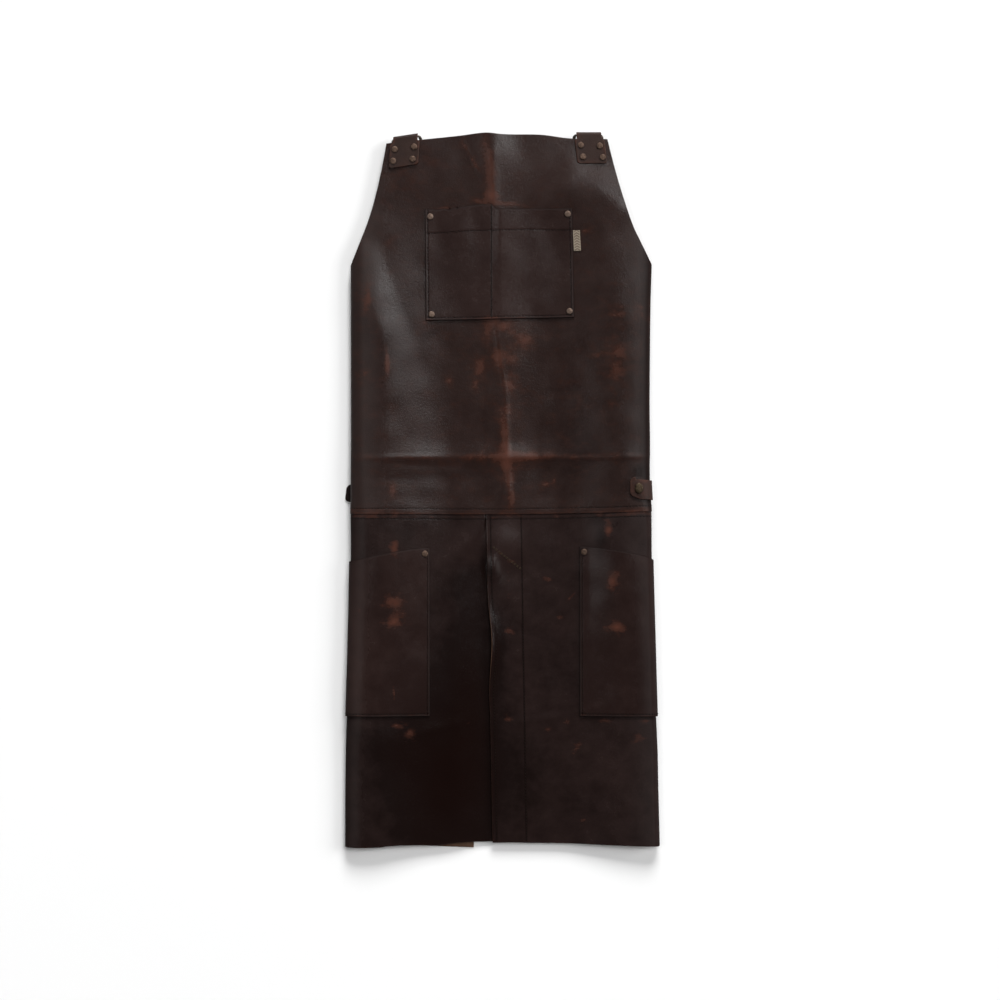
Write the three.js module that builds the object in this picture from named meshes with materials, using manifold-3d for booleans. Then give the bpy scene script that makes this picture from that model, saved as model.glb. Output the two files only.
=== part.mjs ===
// Split-leg leather apron, lying face up with both sides folded under.
// Millimetres. +X to the right of the front, +Y towards the bib's top edge, +Z up.
// The origin is on the floor, under the middle of the apron.
import * as THREE from "three";
import { mergeVertices } from "three/addons/utils/BufferGeometryUtils.js";
import Module from "manifold-3d";

const wasm = await Module();
wasm.setup();

// Leather and its layers
const LEATHER = 2; // thickness of every leather piece
const GAP = 0.4; // air between two layers
const LAYER = LEATHER + GAP; // step from one layer to the next
const FOLD_DEPTH = 9; // how far a side fold stands out past the flat front
const FLAP_WIDTH = 167; // side flap under the front, from its fold to its free edge
const RAMP_START = 0.35; // share of the half width where the front starts to rise to its folds

// Long seams
const WAIST_Y = -33; // seam between the bib and the legs
const HEM_Y = -489; // bottom edge beside the folds
const HEM_RISE = 6; // how much shorter the front hangs at the slit

// Bib outline
const BIB_CORNER_LEFT = { x: -158, y: 473.5 };
const BIB_CORNER_RIGHT = { x: 142.5, y: 479.5 };
const ARMHOLE_LEFT = { bendX: -180.5, bendY: 362, endY: 328 };
const ARMHOLE_RIGHT = { bendX: 161, bendY: 398, endY: 331 };
const ARMHOLE_UNDER_Y = 297; // where the armhole comes out of the side fold on to the flap
const FLAP_TOP_Y = 190; // where it ends at the flap's free edge

// Rivets and studs
const POST_RADIUS = 1.6;
const HOLE_RADIUS = 2;
const RIVET = { radius: 4.4, dome: 1.7, back: 3.6, backThickness: 0.7 };
const STUD = { radius: 7.4, dome: 2.6, back: 3.8, backThickness: 0.9 };

// Shoulder tabs and their rings, measured from the ring's bar
const TAB = { half: 19, neckHalf: 16, neckEnd: 4.5, flareEnd: 8.5, length: 37, loopRadius: 3.1, bibMiddle: 0.7 };
const TAB_RIVET = { across: 13, rows: [13.5, 29.5] };
const RING = { wire: 1.5, barHalf: 18, half: 20.5, depth: 25, droop: 25 };
const TAB_SEAT_Z = 12.8; // height of the bib's middle under the shoulder tabs

// Pockets
const HEM_STITCH_DROP = 33; // depth of the chest pocket's turned hem
const CHEST_BULGE = 6.6;
const HIP_BULGE = 7.4;
const SEWN_MARGIN = 13; // flat strip beside a pocket's side seam, held down by its rivets
const HIP_POCKET_END = 2.36; // how far the hip pockets reach round on to the flaps
const HIP_POCKET_BOTTOM = -310;
const HIP_MOUTH_DROP = 20; // fall of the pocket mouth from its inner corner to the fold

// Slit
const FACING_WIDTH = 46;
const UNDERLAP_X = 25; // hidden edge of the left leg, under the right one
const UNDERLAP_START_X = -70; // where the left leg starts to dip under the right one

// Sections up the apron: the two folds' outermost lines, the height of the front in the
// middle and beside the folds, and the height of the flaps. Heights are at mid-thickness.
const SECTIONS = [
  { y: -490, left: -214.8, right: 214.8, middle: 8.5, side: 19, flap: 1 },
  { y: -400, left: -214.4, right: 212.6, middle: 9.2, side: 19, flap: 1 },
  { y: -360, left: -213.9, right: 211.8, middle: 9.9, side: 20.2, flap: 1.2 },
  { y: -318, left: -212.4, right: 209.8, middle: 10.6, side: 21.4, flap: 3.65 },
  { y: -200, left: -208.8, right: 206.4, middle: 10.6, side: 21.4, flap: 3.65 },
  { y: -95, left: -206.2, right: 203.6, middle: 10.6, side: 21.4, flap: 3.65 },
  { y: -33, left: -206, right: 203, middle: 10.5, side: 21.4, flap: 3.65 },
  { y: 20, left: -206, right: 200.8, middle: 9.6, side: 21.2, flap: 3.65 },
  { y: 60, left: -205.8, right: 200, middle: 9, side: 20.4, flap: 1.2 },
  { y: 120, left: -205.8, right: 199.4, middle: 8.6, side: 19, flap: 1 },
  { y: 250, left: -206, right: 200.4, middle: 9.4, side: 19, flap: 1 },
  { y: 312, left: -206.2, right: 202, middle: 9.8, side: 18, flap: 1 },
  { y: 380, left: -206.2, right: 202, middle: 10.6, side: 15, flap: 1 },
  { y: 435, left: -206.2, right: 202, middle: 12.8, side: 12.8, flap: 1 },
  { y: 490, left: -206.2, right: 202, middle: 12.8, side: 12.8, flap: 1 },
];

// Broad dents and folds of the front: place, reach each way and height
const DENTS = [
  { name: "ridge of the middle crease", x: -14, y: 496, across: 26, along: 74, height: 8 },
  { name: "ridge of the cross crease", x: 10, y: 46, across: 150, along: 13, height: 2.2 },
  { name: "hollow under the cross crease", x: -70, y: 18, across: 75, along: 16, height: -2 },
  { name: "dip beside the right tab", x: 186, y: 26, across: 22, along: 18, height: -1.6 },
  { name: "swell over the slit", x: -4, y: -72, across: 30, along: 20, height: 2.4 },
  { name: "hollow below the slit's head", x: 4, y: -112, across: 24, along: 16, height: -1.4 },
];

// The slit's overlapping edge, from the waist to the hem
const SLIT_EDGE = [
  { y: -490, x: -13 },
  { y: -330, x: -16 },
  { y: -260, x: -18 },
  { y: -206, x: -15 },
  { y: -150, x: -18 },
  { y: -33, x: -21 },
];
const SLIT_CURL = { y: -206, across: 17, along: 46, height: 7 };

// The bib's top edge between its corners
const TOP_EDGE = [
  { x: -158, y: 473.5 },
  { x: -113, y: 478.5 },
  { x: -60, y: 484 },
  { x: -24, y: 488 },
  { x: 0, y: 486 },
  { x: 52, y: 485.5 },
  { x: 92, y: 480.5 },
  { x: 142.5, y: 479.5 },
];

// Chest pocket corners
const CHEST = {
  bottomLeft: { x: -105, y: 231.5 },
  bottomRight: { x: 98.5, y: 236 },
  topLeft: { x: -106, y: 384.5 },
  topRight: { x: 95.5, y: 385.5 },
  topPeak: 4, // rise of the top edge over the middle crease
  dividerX: -15,
};
const CHEST_RIVETS = [
  { name: "chest_rivet_1", x: -99, y: 373.5 },
  { name: "chest_rivet_2", x: 89.5, y: 377 },
  { name: "chest_rivet_3", x: -97.5, y: 239.5 },
  { name: "chest_rivet_4", x: 92, y: 244 },
];

const HIP_POCKETS = [
  { name: "left", side: -1, innerX: -100, mouthY: -80, rivet: { x: -106.5, y: -88 } },
  { name: "right", side: 1, innerX: 106.5, mouthY: -78, rivet: { x: 112, y: -85.5 } },
];

// Shoulder tabs: the bar's middle, its turn in the plan and the lean of the strap below it
const SHOULDER_TABS = [
  { name: "left", x: -133, y: 481.4, tilt: 8.5, lean: -4 },
  { name: "right", x: 119, y: 485.4, tilt: 0, lean: 6.5 },
];

const SIDE_TAB = { width: 27, cornerRadius: 9, slope: -7, slack: 0.25 };
const SIDE_TAB_RIGHT = { innerX: 174.5, y: 1.5, end: 2.2 };
const SIDE_TAB_LEFT = { tipX: -216, innerX: -172, y: -5, width: 25 };
const SIDE_STUD = { x: 186.5, y: 2.5 };
const LABEL = { x: 97.2, y: 341.5, width: 10.6, height: 28.5, thickness: 0.8, turn: 3 };

// Materials
const leather = (color) => new THREE.MeshStandardMaterial({ color, roughness: 0.5, metalness: 0 });
const BIB_LEATHER = leather(0x2e2220);
const LEG_LEATHER = leather(0x251b19);
const POCKET_LEATHER = leather(0x2c2220);
const TAB_LEATHER = leather(0x35251f);
const BRASS = new THREE.MeshStandardMaterial({ color: 0x7a6450, roughness: 0.45, metalness: 0.9 });
const DARK_STEEL = new THREE.MeshStandardMaterial({ color: 0x3a3430, roughness: 0.4, metalness: 0.9 });
const WOVEN = new THREE.MeshStandardMaterial({ color: 0xb8a584, roughness: 0.9, metalness: 0 });

// Small maths

const mix = (a, b, t) => a + (b - a) * t;

/** Ease from 0 to 1 with level ends. */
const ease = (t) => {
  const c = Math.min(1, Math.max(0, t));
  return c * c * (3 - 2 * c);
};

const bell = (distance, reach) => Math.exp(-((distance / reach) ** 2));

/** A smooth curve through a table's rows: the column's value where the key has this value. */
function along(table, key, at, column) {
  const last = table.length - 1;
  const clamped = Math.min(table[last][key], Math.max(table[0][key], at));
  let i = 0;
  while (i < last - 1 && clamped > table[i + 1][key]) i += 1;
  const slope = (k) => {
    const before = table[Math.max(0, k - 1)];
    const after = table[Math.min(last, k + 1)];
    return (after[column] - before[column]) / (after[key] - before[key]);
  };
  const [p, q] = [table[i], table[i + 1]];
  const span = q[key] - p[key];
  const t = (clamped - p[key]) / span;
  const [t2, t3] = [t * t, t * t * t];
  return (
    p[column] * (2 * t3 - 3 * t2 + 1) +
    q[column] * (3 * t2 - 2 * t3) +
    slope(i) * span * (t3 - 2 * t2 + t) +
    slope(i + 1) * span * (t3 - t2)
  );
}

// The folded sheet. Every leather panel and pocket lies on it.
// u runs round a section: -1 to 1 over the front, 1 to 2 round the right fold,
// 2 to 3 along the right flap to its free edge, and the same below zero on the left.

const foldStart = (side, y) =>
  Math.abs(along(SECTIONS, "y", y, side < 0 ? "left" : "right")) - FOLD_DEPTH;

const acrossAt = (x, y) => x / foldStart(x, y);

function frontHeight(x, y) {
  const middle = along(SECTIONS, "y", y, "middle");
  const side = along(SECTIONS, "y", y, "side");
  const share = Math.abs(x) / foldStart(x, y);
  const rise = ease((share - RAMP_START) / (1 - RAMP_START));
  const dents = DENTS.reduce((sum, d) => sum + d.height * bell(x - d.x, d.across) * bell(y - d.y, d.along), 0);
  return mix(middle, side, rise) + dents;
}

function sheetPoint(u, y) {
  const side = u < 0 ? -1 : 1;
  const start = foldStart(side, y);
  const a = Math.abs(u);
  if (a <= 1) return new THREE.Vector3(u * start, y, frontHeight(u * start, y));
  const flap = Math.max(LEATHER / 2, along(SECTIONS, "y", y, "flap"));
  if (a >= 2) return new THREE.Vector3(side * (start - (a - 2) * FLAP_WIDTH), y, flap);
  const turn = (a - 1) * Math.PI;
  const top = frontHeight(side * start, y);
  const x = start + FOLD_DEPTH * Math.sin(turn);
  return new THREE.Vector3(side * x, y, (top + flap) / 2 + ((top - flap) / 2) * Math.cos(turn));
}

/** The sheet's outward direction, on the side that shows. */
function sheetNormal(u, y) {
  const step = 0.002;
  const alongU = sheetPoint(u + step, y).sub(sheetPoint(u - step, y));
  const alongY = sheetPoint(u, y + 1).sub(sheetPoint(u, y - 1));
  return alongU.cross(alongY).normalize();
}

const onSheet = (u, y, lift) => sheetPoint(u, y).addScaledVector(sheetNormal(u, y), lift);

// Solids

/** A wall of even thickness over a grid: place(column, row, offset) gives its points. */
function wall(columns, rows, place, thickness = LEATHER) {
  const wide = columns.length;
  const layerSize = wide * rows.length;
  const positions = [];
  for (const offset of [thickness / 2, -thickness / 2])
    for (const row of rows) for (const column of columns) positions.push(...place(column, row, offset).toArray());
  const index = [];
  const quad = (a, b, c, d) => index.push(a, b, c, a, c, d);
  const at = (i, j) => j * wide + i;
  for (let j = 0; j < rows.length - 1; j += 1)
    for (let i = 0; i < wide - 1; i += 1) {
      quad(at(i, j), at(i + 1, j), at(i + 1, j + 1), at(i, j + 1));
      const under = [at(i, j), at(i, j + 1), at(i + 1, j + 1), at(i + 1, j)].map((k) => k + layerSize);
      quad(...under);
    }
  const rim = [];
  for (let i = 0; i < wide - 1; i += 1) rim.push(at(i, 0));
  for (let j = 0; j < rows.length - 1; j += 1) rim.push(at(wide - 1, j));
  for (let i = wide - 1; i > 0; i -= 1) rim.push(at(i, rows.length - 1));
  for (let j = rows.length - 1; j > 0; j -= 1) rim.push(at(0, j));
  rim.forEach((a, k) => {
    const b = rim[(k + 1) % rim.length];
    quad(a, a + layerSize, b + layerSize, b);
  });
  const geometry = new THREE.BufferGeometry();
  geometry.setAttribute("position", new THREE.Float32BufferAttribute(positions, 3));
  geometry.setIndex(index);
  return geometry;
}

function toSolid(geometry) {
  const bare = new THREE.BufferGeometry();
  bare.setAttribute("position", geometry.getAttribute("position"));
  bare.setIndex(geometry.getIndex());
  const merged = mergeVertices(bare, 1e-4);
  const vertProperties = new Float32Array(merged.getAttribute("position").array);
  const triVerts = new Uint32Array(merged.getIndex().array);
  return new wasm.Manifold(new wasm.Mesh({ numProp: 3, vertProperties, triVerts }));
}

function fromSolid(solid) {
  const mesh = solid.getMesh();
  const geometry = new THREE.BufferGeometry();
  geometry.setAttribute("position", new THREE.Float32BufferAttribute(mesh.vertProperties, 3));
  geometry.setIndex([...mesh.triVerts]);
  return geometry;
}

const UP = new THREE.Vector3(0, 0, 1);
const upright = (normal) => new THREE.Quaternion().setFromUnitVectors(UP, normal);

/** Round holes punched square through a leather piece. */
function punched(geometry, seats) {
  const drillLength = 24;
  const holes = seats.map((seat) => {
    const drill = new THREE.CylinderGeometry(HOLE_RADIUS, HOLE_RADIUS, drillLength, 8);
    drill.rotateX(Math.PI / 2).applyQuaternion(upright(seat.normal));
    drill.translate(seat.point.x, seat.point.y, seat.point.z);
    return toSolid(drill);
  });
  return fromSolid(holes.reduce((solid, hole) => solid.subtract(hole), toSolid(geometry)));
}

/** A domed cap, a post through the layers and a flat washer behind, as one turned piece. */
function rivetGeometry(kind, grip, sides) {
  const under = -grip - kind.backThickness;
  const profile = [
    [0, under],
    [kind.back, under],
    [kind.back, -grip],
    [POST_RADIUS, -grip],
    [POST_RADIUS, 0],
    [kind.radius, 0],
    [kind.radius * 0.82, kind.dome * 0.7],
    [0, kind.dome],
  ];
  const lathe = new THREE.LatheGeometry(profile.map(([r, z]) => new THREE.Vector2(r, z)), sides);
  return lathe.rotateX(Math.PI / 2);
}

function piece(name, geometry, material) {
  const mesh = new THREE.Mesh(geometry, material);
  mesh.name = name;
  return mesh;
}

const apron = new THREE.Group();
const spread = (from, to, steps) => Array.from({ length: steps + 1 }, (_, i) => mix(from, to, i / steps));
const FOLD_TURN = spread(1, 2, 6);
const FLAP_RUN = [2.3, 2.65, 3];
const mirrored = (list) => list.map((u) => -u).reverse();

// Rivet and stud seats: the point on the sheet under the cap, its outward direction and the
// height of the cap's underside above the sheet's middle

function seatAt(x, y, layers, slack = 0) {
  const u = acrossAt(x, y);
  const normal = sheetNormal(u, y);
  const height = LEATHER / 2 + layers * LAYER + GAP / 2 + slack;
  return { normal, point: sheetPoint(u, y).addScaledVector(normal, height) };
}

const GRIP_TWO = 2 * LEATHER + 2 * GAP; // through a panel and one piece on it
const GRIP_THREE = 3 * LEATHER + 3 * GAP; // through a panel and a tab on both sides
const GRIP_STUD = GRIP_TWO + 0.6; // the same, on the curve of the side fold

function addRivet(name, seat, grip, kind = RIVET, sides = 10) {
  const mesh = piece(name, rivetGeometry(kind, grip, sides), BRASS);
  mesh.position.copy(seat.point);
  mesh.quaternion.copy(upright(seat.normal));
  apron.add(mesh);
}

const chestSeats = CHEST_RIVETS.map((r) => ({ name: r.name, ...seatAt(r.x, r.y, 1) }));
const hipSeats = HIP_POCKETS.map((p) => ({ name: `hip_rivet_${p.name}`, ...seatAt(p.rivet.x, p.rivet.y, 1) }));
const studSeat = seatAt(SIDE_STUD.x, SIDE_STUD.y, 1, SIDE_TAB.slack);

// A point of a shoulder tab's plan, from its bar: across along the bar, down along the strap
function tabPlan(tab, across, down) {
  const tilt = THREE.MathUtils.degToRad(tab.tilt);
  const lean = THREE.MathUtils.degToRad(tab.lean);
  return {
    x: tab.x + across * Math.cos(tilt) + down * Math.sin(lean),
    y: tab.y + across * Math.sin(tilt) - down * Math.cos(lean),
  };
}

const tabSeats = SHOULDER_TABS.flatMap((tab) =>
  TAB_RIVET.rows.flatMap((down, row) =>
    [-1, 1].map((side, column) => {
      const plan = tabPlan(tab, side * TAB_RIVET.across, down);
      return { name: `shoulder_rivet_${tab.name}_${row * 2 + column + 1}`, ...seatAt(plan.x, plan.y, 1) };
    }),
  ),
);

// Bib

/** Height of the armhole's curve at x, on the front: the curve bends once between its ends. */
function armholeY(x) {
  const [corner, bend] = x < 0 ? [BIB_CORNER_LEFT, ARMHOLE_LEFT] : [BIB_CORNER_RIGHT, ARMHOLE_RIGHT];
  const endX = Math.sign(x) * foldStart(x, bend.endY);
  const curve = corner.x - 2 * bend.bendX + endX;
  const slope = 2 * (bend.bendX - corner.x);
  const t = (-slope + Math.sign(x) * Math.sqrt(slope * slope - 4 * curve * (corner.x - x))) / (2 * curve);
  return (1 - t) ** 2 * corner.y + 2 * t * (1 - t) * bend.bendY + t * t * bend.endY;
}

/** The bib's upper edge over the whole sheet, from one flap's free edge to the other's. */
function bibTop(u) {
  const a = Math.abs(u);
  if (a >= 2) return mix(ARMHOLE_UNDER_Y, FLAP_TOP_Y, 1 - (3 - a) ** 2);
  const end = u < 0 ? ARMHOLE_LEFT.endY : ARMHOLE_RIGHT.endY;
  if (a >= 1) return mix(end, ARMHOLE_UNDER_Y, a - 1);
  const x = u * foldStart(u, end);
  if (x < BIB_CORNER_LEFT.x || x > BIB_CORNER_RIGHT.x) return armholeY(x);
  return along(TOP_EDGE, "x", x, "y");
}

const cornerU = (corner) => acrossAt(corner.x, corner.y);
const BIB_FRONT = [
  ...spread(-1, cornerU(BIB_CORNER_LEFT), 4),
  ...[-0.66, -0.53, -0.41, -0.3, -0.21, -0.14, -0.07, 0, 0.07, 0.15, 0.24, 0.35, 0.47, 0.6],
  ...spread(cornerU(BIB_CORNER_RIGHT), 1, 4),
];
const BIB_COLUMNS = [
  ...mirrored(FLAP_RUN),
  ...mirrored(FOLD_TURN).slice(0, -1),
  ...BIB_FRONT,
  ...FOLD_TURN.slice(1),
  ...FLAP_RUN,
];
const bibWall = wall(BIB_COLUMNS, spread(0, 1, 16), (u, row, offset) =>
  onSheet(u, mix(WAIST_Y + GAP / 2, bibTop(u), row), offset),
);
apron.add(piece("bib", punched(bibWall, [...chestSeats, ...tabSeats, studSeat]), BIB_LEATHER));

// Legs

const hemY = (u) => HEM_Y + HEM_RISE * ease(1.2 - Math.abs(u) * 1.2);
const LEG_ROWS = spread(0, 1, 14);

/** A row's height on a leg, from the hem up to the waist seam. */
const legY = (u, row) => mix(hemY(u), WAIST_Y - GAP / 2, row);

const slitEdge = (y) => along(SLIT_EDGE, "y", y, "x");

function slitCurl(x, y) {
  return SLIT_CURL.height * bell(x - slitEdge(y), SLIT_CURL.across) * bell(y - SLIT_CURL.y, SLIT_CURL.along);
}

/** How far the left leg dips to pass under the facing and the right leg. */
const underlapDip = (x) => 2 * LAYER * ease((x - UNDERLAP_START_X) / (-22 - UNDERLAP_START_X));

const LEFT_FRONT = [-0.86, -0.72, -0.58, -0.45, -0.35, -0.27, -0.19, -0.11, -0.03, 0.05];
const leftWall = wall(
  [...mirrored(FLAP_RUN), ...mirrored(FOLD_TURN), ...LEFT_FRONT, acrossAt(UNDERLAP_X, WAIST_Y)],
  LEG_ROWS,
  (u, row, offset) => {
    const y = legY(u, row);
    const dip = Math.abs(u) < 1 ? underlapDip(u * foldStart(u, y)) : 0;
    return onSheet(u, y, offset - dip);
  },
);
apron.add(piece("leg_left", punched(leftWall, [hipSeats[0]]), LEG_LEATHER));

const RIGHT_FRONT = [0, 0.08, 0.16, 0.25, 0.36, 0.48, 0.6, 0.72, 0.86, 1];
const RIGHT_COLUMNS = [...RIGHT_FRONT, ...FOLD_TURN.slice(1), ...FLAP_RUN];
const rightWall = wall(RIGHT_COLUMNS, LEG_ROWS, (column, row, offset) => {
  if (column >= 1) return onSheet(column, legY(column, row), offset);
  const y = legY(column, row);
  const x = mix(slitEdge(y), foldStart(1, y), column);
  return onSheet(acrossAt(x, y), y, offset + slitCurl(x, y));
});
apron.add(piece("leg_right", punched(rightWall, [hipSeats[1]]), LEG_LEATHER));

const facingWall = wall(spread(0, 1, 3), LEG_ROWS, (column, row, offset) => {
  const y = legY(0, row);
  const x = slitEdge(y) + column * FACING_WIDTH;
  return onSheet(acrossAt(x, y), y, offset - LAYER + slitCurl(x, y));
});
apron.add(piece("slit_facing", facingWall, LEG_LEATHER));

// Chest pocket

/** Puff of the two compartments: none at the seams and the divider, most at the mouth. */
function chestPuff(x, row, left, right) {
  const bag = x < CHEST.dividerX ? [left + SEWN_MARGIN, CHEST.dividerX] : [CHEST.dividerX, right - SEWN_MARGIN];
  const share = Math.min(1, Math.max(0, (x - bag[0]) / (bag[1] - bag[0])));
  return CHEST_BULGE * Math.sin(Math.PI * share) ** 1.3 * ease(row * 1.25 - 0.2);
}

const chestWall = wall(
  [0, 0.065, 0.13, 0.22, 0.31, 0.39, 0.447, 0.5, 0.57, 0.66, 0.76, 0.86, 0.935, 1],
  spread(0, 1, 8),
  (column, row, offset) => {
    const left = mix(CHEST.bottomLeft.x, CHEST.topLeft.x, row);
    const right = mix(CHEST.bottomRight.x, CHEST.topRight.x, row);
    const x = mix(left, right, column);
    const bottom = mix(CHEST.bottomLeft.y, CHEST.bottomRight.y, column);
    const peak = CHEST.topPeak * bell(x - CHEST.dividerX, 45);
    const y = mix(bottom, mix(CHEST.topLeft.y, CHEST.topRight.y, column) + peak, row);
    return onSheet(acrossAt(x, y), y, offset + LAYER + chestPuff(x, row, left, right));
  },
);
apron.add(piece("chest_pocket", punched(chestWall, chestSeats), POCKET_LEATHER));
for (const seat of chestSeats) addRivet(seat.name, seat, GRIP_TWO);

// Hip pockets

HIP_POCKETS.forEach((pocket, k) => {
  const SEWN_SHARE = SEWN_MARGIN / 97;
  const FRONT_SHARE = [0.26, 0.4, 0.56, 0.72, 0.88];
  const columns = [0, SEWN_SHARE, ...FRONT_SHARE, ...FOLD_TURN, mix(2, HIP_POCKET_END, 0.5), HIP_POCKET_END];
  const place = (column, row, offset) => {
    const fall = HIP_MOUTH_DROP * ease(column / 1.7);
    const y = mix(HIP_POCKET_BOTTOM, pocket.mouthY - fall, row);
    const inner = Math.abs(acrossAt(pocket.innerX, y));
    const a = column < 1 ? mix(inner, 1, column) : column;
    const share = Math.min(1, Math.max(0, (column - SEWN_SHARE) / (1 - SEWN_SHARE)));
    const puff = HIP_BULGE * Math.sin(Math.PI * share) ** 1.3 * ease(row * 1.2 - 0.2);
    return onSheet(pocket.side * a, y, offset + LAYER + puff);
  };
  const ordered = pocket.side < 0 ? [...columns].reverse() : columns;
  const shape = punched(wall(ordered, spread(0, 1, 9), place), [hipSeats[k]]);
  apron.add(piece(`hip_pocket_${pocket.name}`, shape, POCKET_LEATHER));
  addRivet(hipSeats[k].name, hipSeats[k], GRIP_TWO);
});

// Shoulder tabs, folded over their rings

/** The strap's middle line beside the bar: down the front, round the bar and down the back. */
const TAB_PROFILE = [
  ...[37, 29, 21, 13, TAB.flareEnd, TAB.neckEnd].map((down) => ({ down, z: TAB.loopRadius, turn: Math.PI / 2 })),
  ...spread(Math.PI / 2, -Math.PI / 2, 8).map((turn) => ({
    down: -TAB.loopRadius * Math.cos(turn),
    z: TAB.loopRadius * Math.sin(turn),
    turn,
  })),
  ...[10, 20, TAB.length].map((down) => ({ down, z: TAB.bibMiddle - LAYER, turn: -Math.PI / 2 })),
];

const tabHalf = (knot, k) =>
  k < 6 ? mix(TAB.neckHalf, TAB.half, ease((knot.down - TAB.neckEnd) / (TAB.flareEnd - TAB.neckEnd))) : TAB.neckHalf;

SHOULDER_TABS.forEach((tab) => {
  const barZ = TAB_SEAT_Z - TAB.bibMiddle;
  const strap = wall([-1, 0, 1], TAB_PROFILE.map((_, k) => k), (across, k, offset) => {
    const knot = TAB_PROFILE[k];
    const plan = tabPlan(tab, across * tabHalf(knot, k), knot.down - offset * Math.cos(knot.turn));
    return new THREE.Vector3(plan.x, plan.y, barZ + knot.z + offset * Math.sin(knot.turn));
  });
  const seats = tabSeats.filter((seat) => seat.name.includes(tab.name));
  apron.add(piece(`shoulder_tab_${tab.name}`, punched(strap, seats), TAB_LEATHER));
  for (const seat of seats) addRivet(seat.name, seat, GRIP_THREE);
  const ring = piece(`strap_ring_${tab.name}`, ringGeometry(), DARK_STEEL);
  ring.position.set(tab.x, tab.y, barZ);
  ring.rotation.set(THREE.MathUtils.degToRad(RING.droop), 0, THREE.MathUtils.degToRad(tab.tilt), "ZXY");
  apron.add(ring);
});

/** A wire D: a straight bar along X and an oval bow below it, bent from one round wire. */
function ringGeometry() {
  const drop = Math.sqrt(1 - (RING.barHalf / RING.half) ** 2);
  const bowHeight = RING.depth / (1 + drop);
  const from = Math.asin(drop);
  const bow = spread(-from, Math.PI + from, 22).map(
    (t) => new THREE.Vector3(-RING.half * Math.cos(t), -bowHeight * (drop + Math.sin(t)), 0),
  );
  const bar = spread(RING.barHalf, -RING.barHalf, 4).slice(1, -1).map((x) => new THREE.Vector3(x, 0, 0));
  const path = [...bow, ...bar];
  const sides = 10;
  const positions = [];
  path.forEach((point, k) => {
    const before = path[(k + path.length - 1) % path.length];
    const after = path[(k + 1) % path.length];
    const into = point.clone().sub(before).normalize();
    const out = after.clone().sub(point).normalize();
    const outward = new THREE.Vector3(into.y + out.y, -into.x - out.x, 0).normalize();
    const stretch = 1 / Math.max(0.5, Math.sqrt((1 + into.dot(out)) / 2));
    for (let n = 0; n < sides; n += 1) {
      const angle = (2 * Math.PI * n) / sides;
      const wire = point.clone().addScaledVector(outward, RING.wire * stretch * Math.cos(angle));
      positions.push(wire.x, wire.y, wire.z + RING.wire * Math.sin(angle));
    }
  });
  const index = [];
  path.forEach((_, k) => {
    const next = (k + 1) % path.length;
    for (let n = 0; n < sides; n += 1) {
      const m = (n + 1) % sides;
      const [a, b, c, d] = [k * sides + n, next * sides + n, next * sides + m, k * sides + m];
      index.push(a, b, c, a, c, d);
    }
  });
  const geometry = new THREE.BufferGeometry();
  geometry.setAttribute("position", new THREE.Float32BufferAttribute(positions, 3));
  geometry.setIndex(index);
  return geometry;
}

// Side tabs

const rightTab = wall(
  [0, 0.12, 0.24, 0.4, 0.6, ...FOLD_TURN, SIDE_TAB_RIGHT.end],
  [-1, -0.7, -0.35, 0, 0.35, 0.7, 1],
  (column, row, offset) => {
    const half = SIDE_TAB.width / 2;
    const bend = Math.max(0, Math.abs(row) * half - (half - SIDE_TAB.cornerRadius));
    const inset = SIDE_TAB.cornerRadius - Math.sqrt(SIDE_TAB.cornerRadius ** 2 - bend ** 2);
    const slope = Math.tan(THREE.MathUtils.degToRad(SIDE_TAB.slope));
    const y = SIDE_TAB_RIGHT.y + row * half + Math.min(column, 1.5) * 26 * slope;
    const inner = acrossAt(SIDE_TAB_RIGHT.innerX + inset, y);
    return onSheet(column < 1 ? mix(inner, 1, column) : column, y, offset + LAYER + SIDE_TAB.slack);
  },
);
apron.add(piece("side_tab_right", punched(rightTab, [studSeat]), TAB_LEATHER));
addRivet("side_stud_right", studSeat, GRIP_STUD, STUD, 16);

const leftTab = wall([0, 0.08, 0.2, 0.6, 1], [-1, -0.7, -0.35, 0, 0.35, 0.7, 1], (column, row, offset) => {
  const half = SIDE_TAB_LEFT.width / 2;
  const bend = Math.max(0, Math.abs(row) * half - (half - SIDE_TAB.cornerRadius));
  const inset = SIDE_TAB.cornerRadius - Math.sqrt(SIDE_TAB.cornerRadius ** 2 - bend ** 2);
  const x = mix(SIDE_TAB_LEFT.tipX + inset, SIDE_TAB_LEFT.innerX, column);
  return new THREE.Vector3(x, SIDE_TAB_LEFT.y + row * half, LEATHER / 2 + offset);
});
apron.add(piece("side_tab_left", leftTab, TAB_LEATHER));

// Label

const labelWall = wall(
  spread(0, LABEL.width, 2),
  spread(-LABEL.height / 2, LABEL.height / 2, 4),
  (across, up, offset) => {
    const y = LABEL.y + up;
    const x = LABEL.x - up * Math.tan(THREE.MathUtils.degToRad(LABEL.turn)) + across;
    return onSheet(acrossAt(x, y), y, offset + (LEATHER + LABEL.thickness) / 2 + GAP);
  },
  LABEL.thickness,
);
apron.add(piece("label", labelWall, WOVEN));

export default apron;
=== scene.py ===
# %% [markdown]
# # A leather work apron, lying face up
#
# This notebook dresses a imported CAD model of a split-leg leather apron. The apron lies
# on a pale floor with both sides folded under, as it would be laid out to be shown.
# The CAD model is the frame: it gives the bodies, the joints and the sizes. Each cell
# below makes one piece of the real apron as a surface worked out with numpy, gives it
# a finish and lets it ride on its body.

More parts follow.
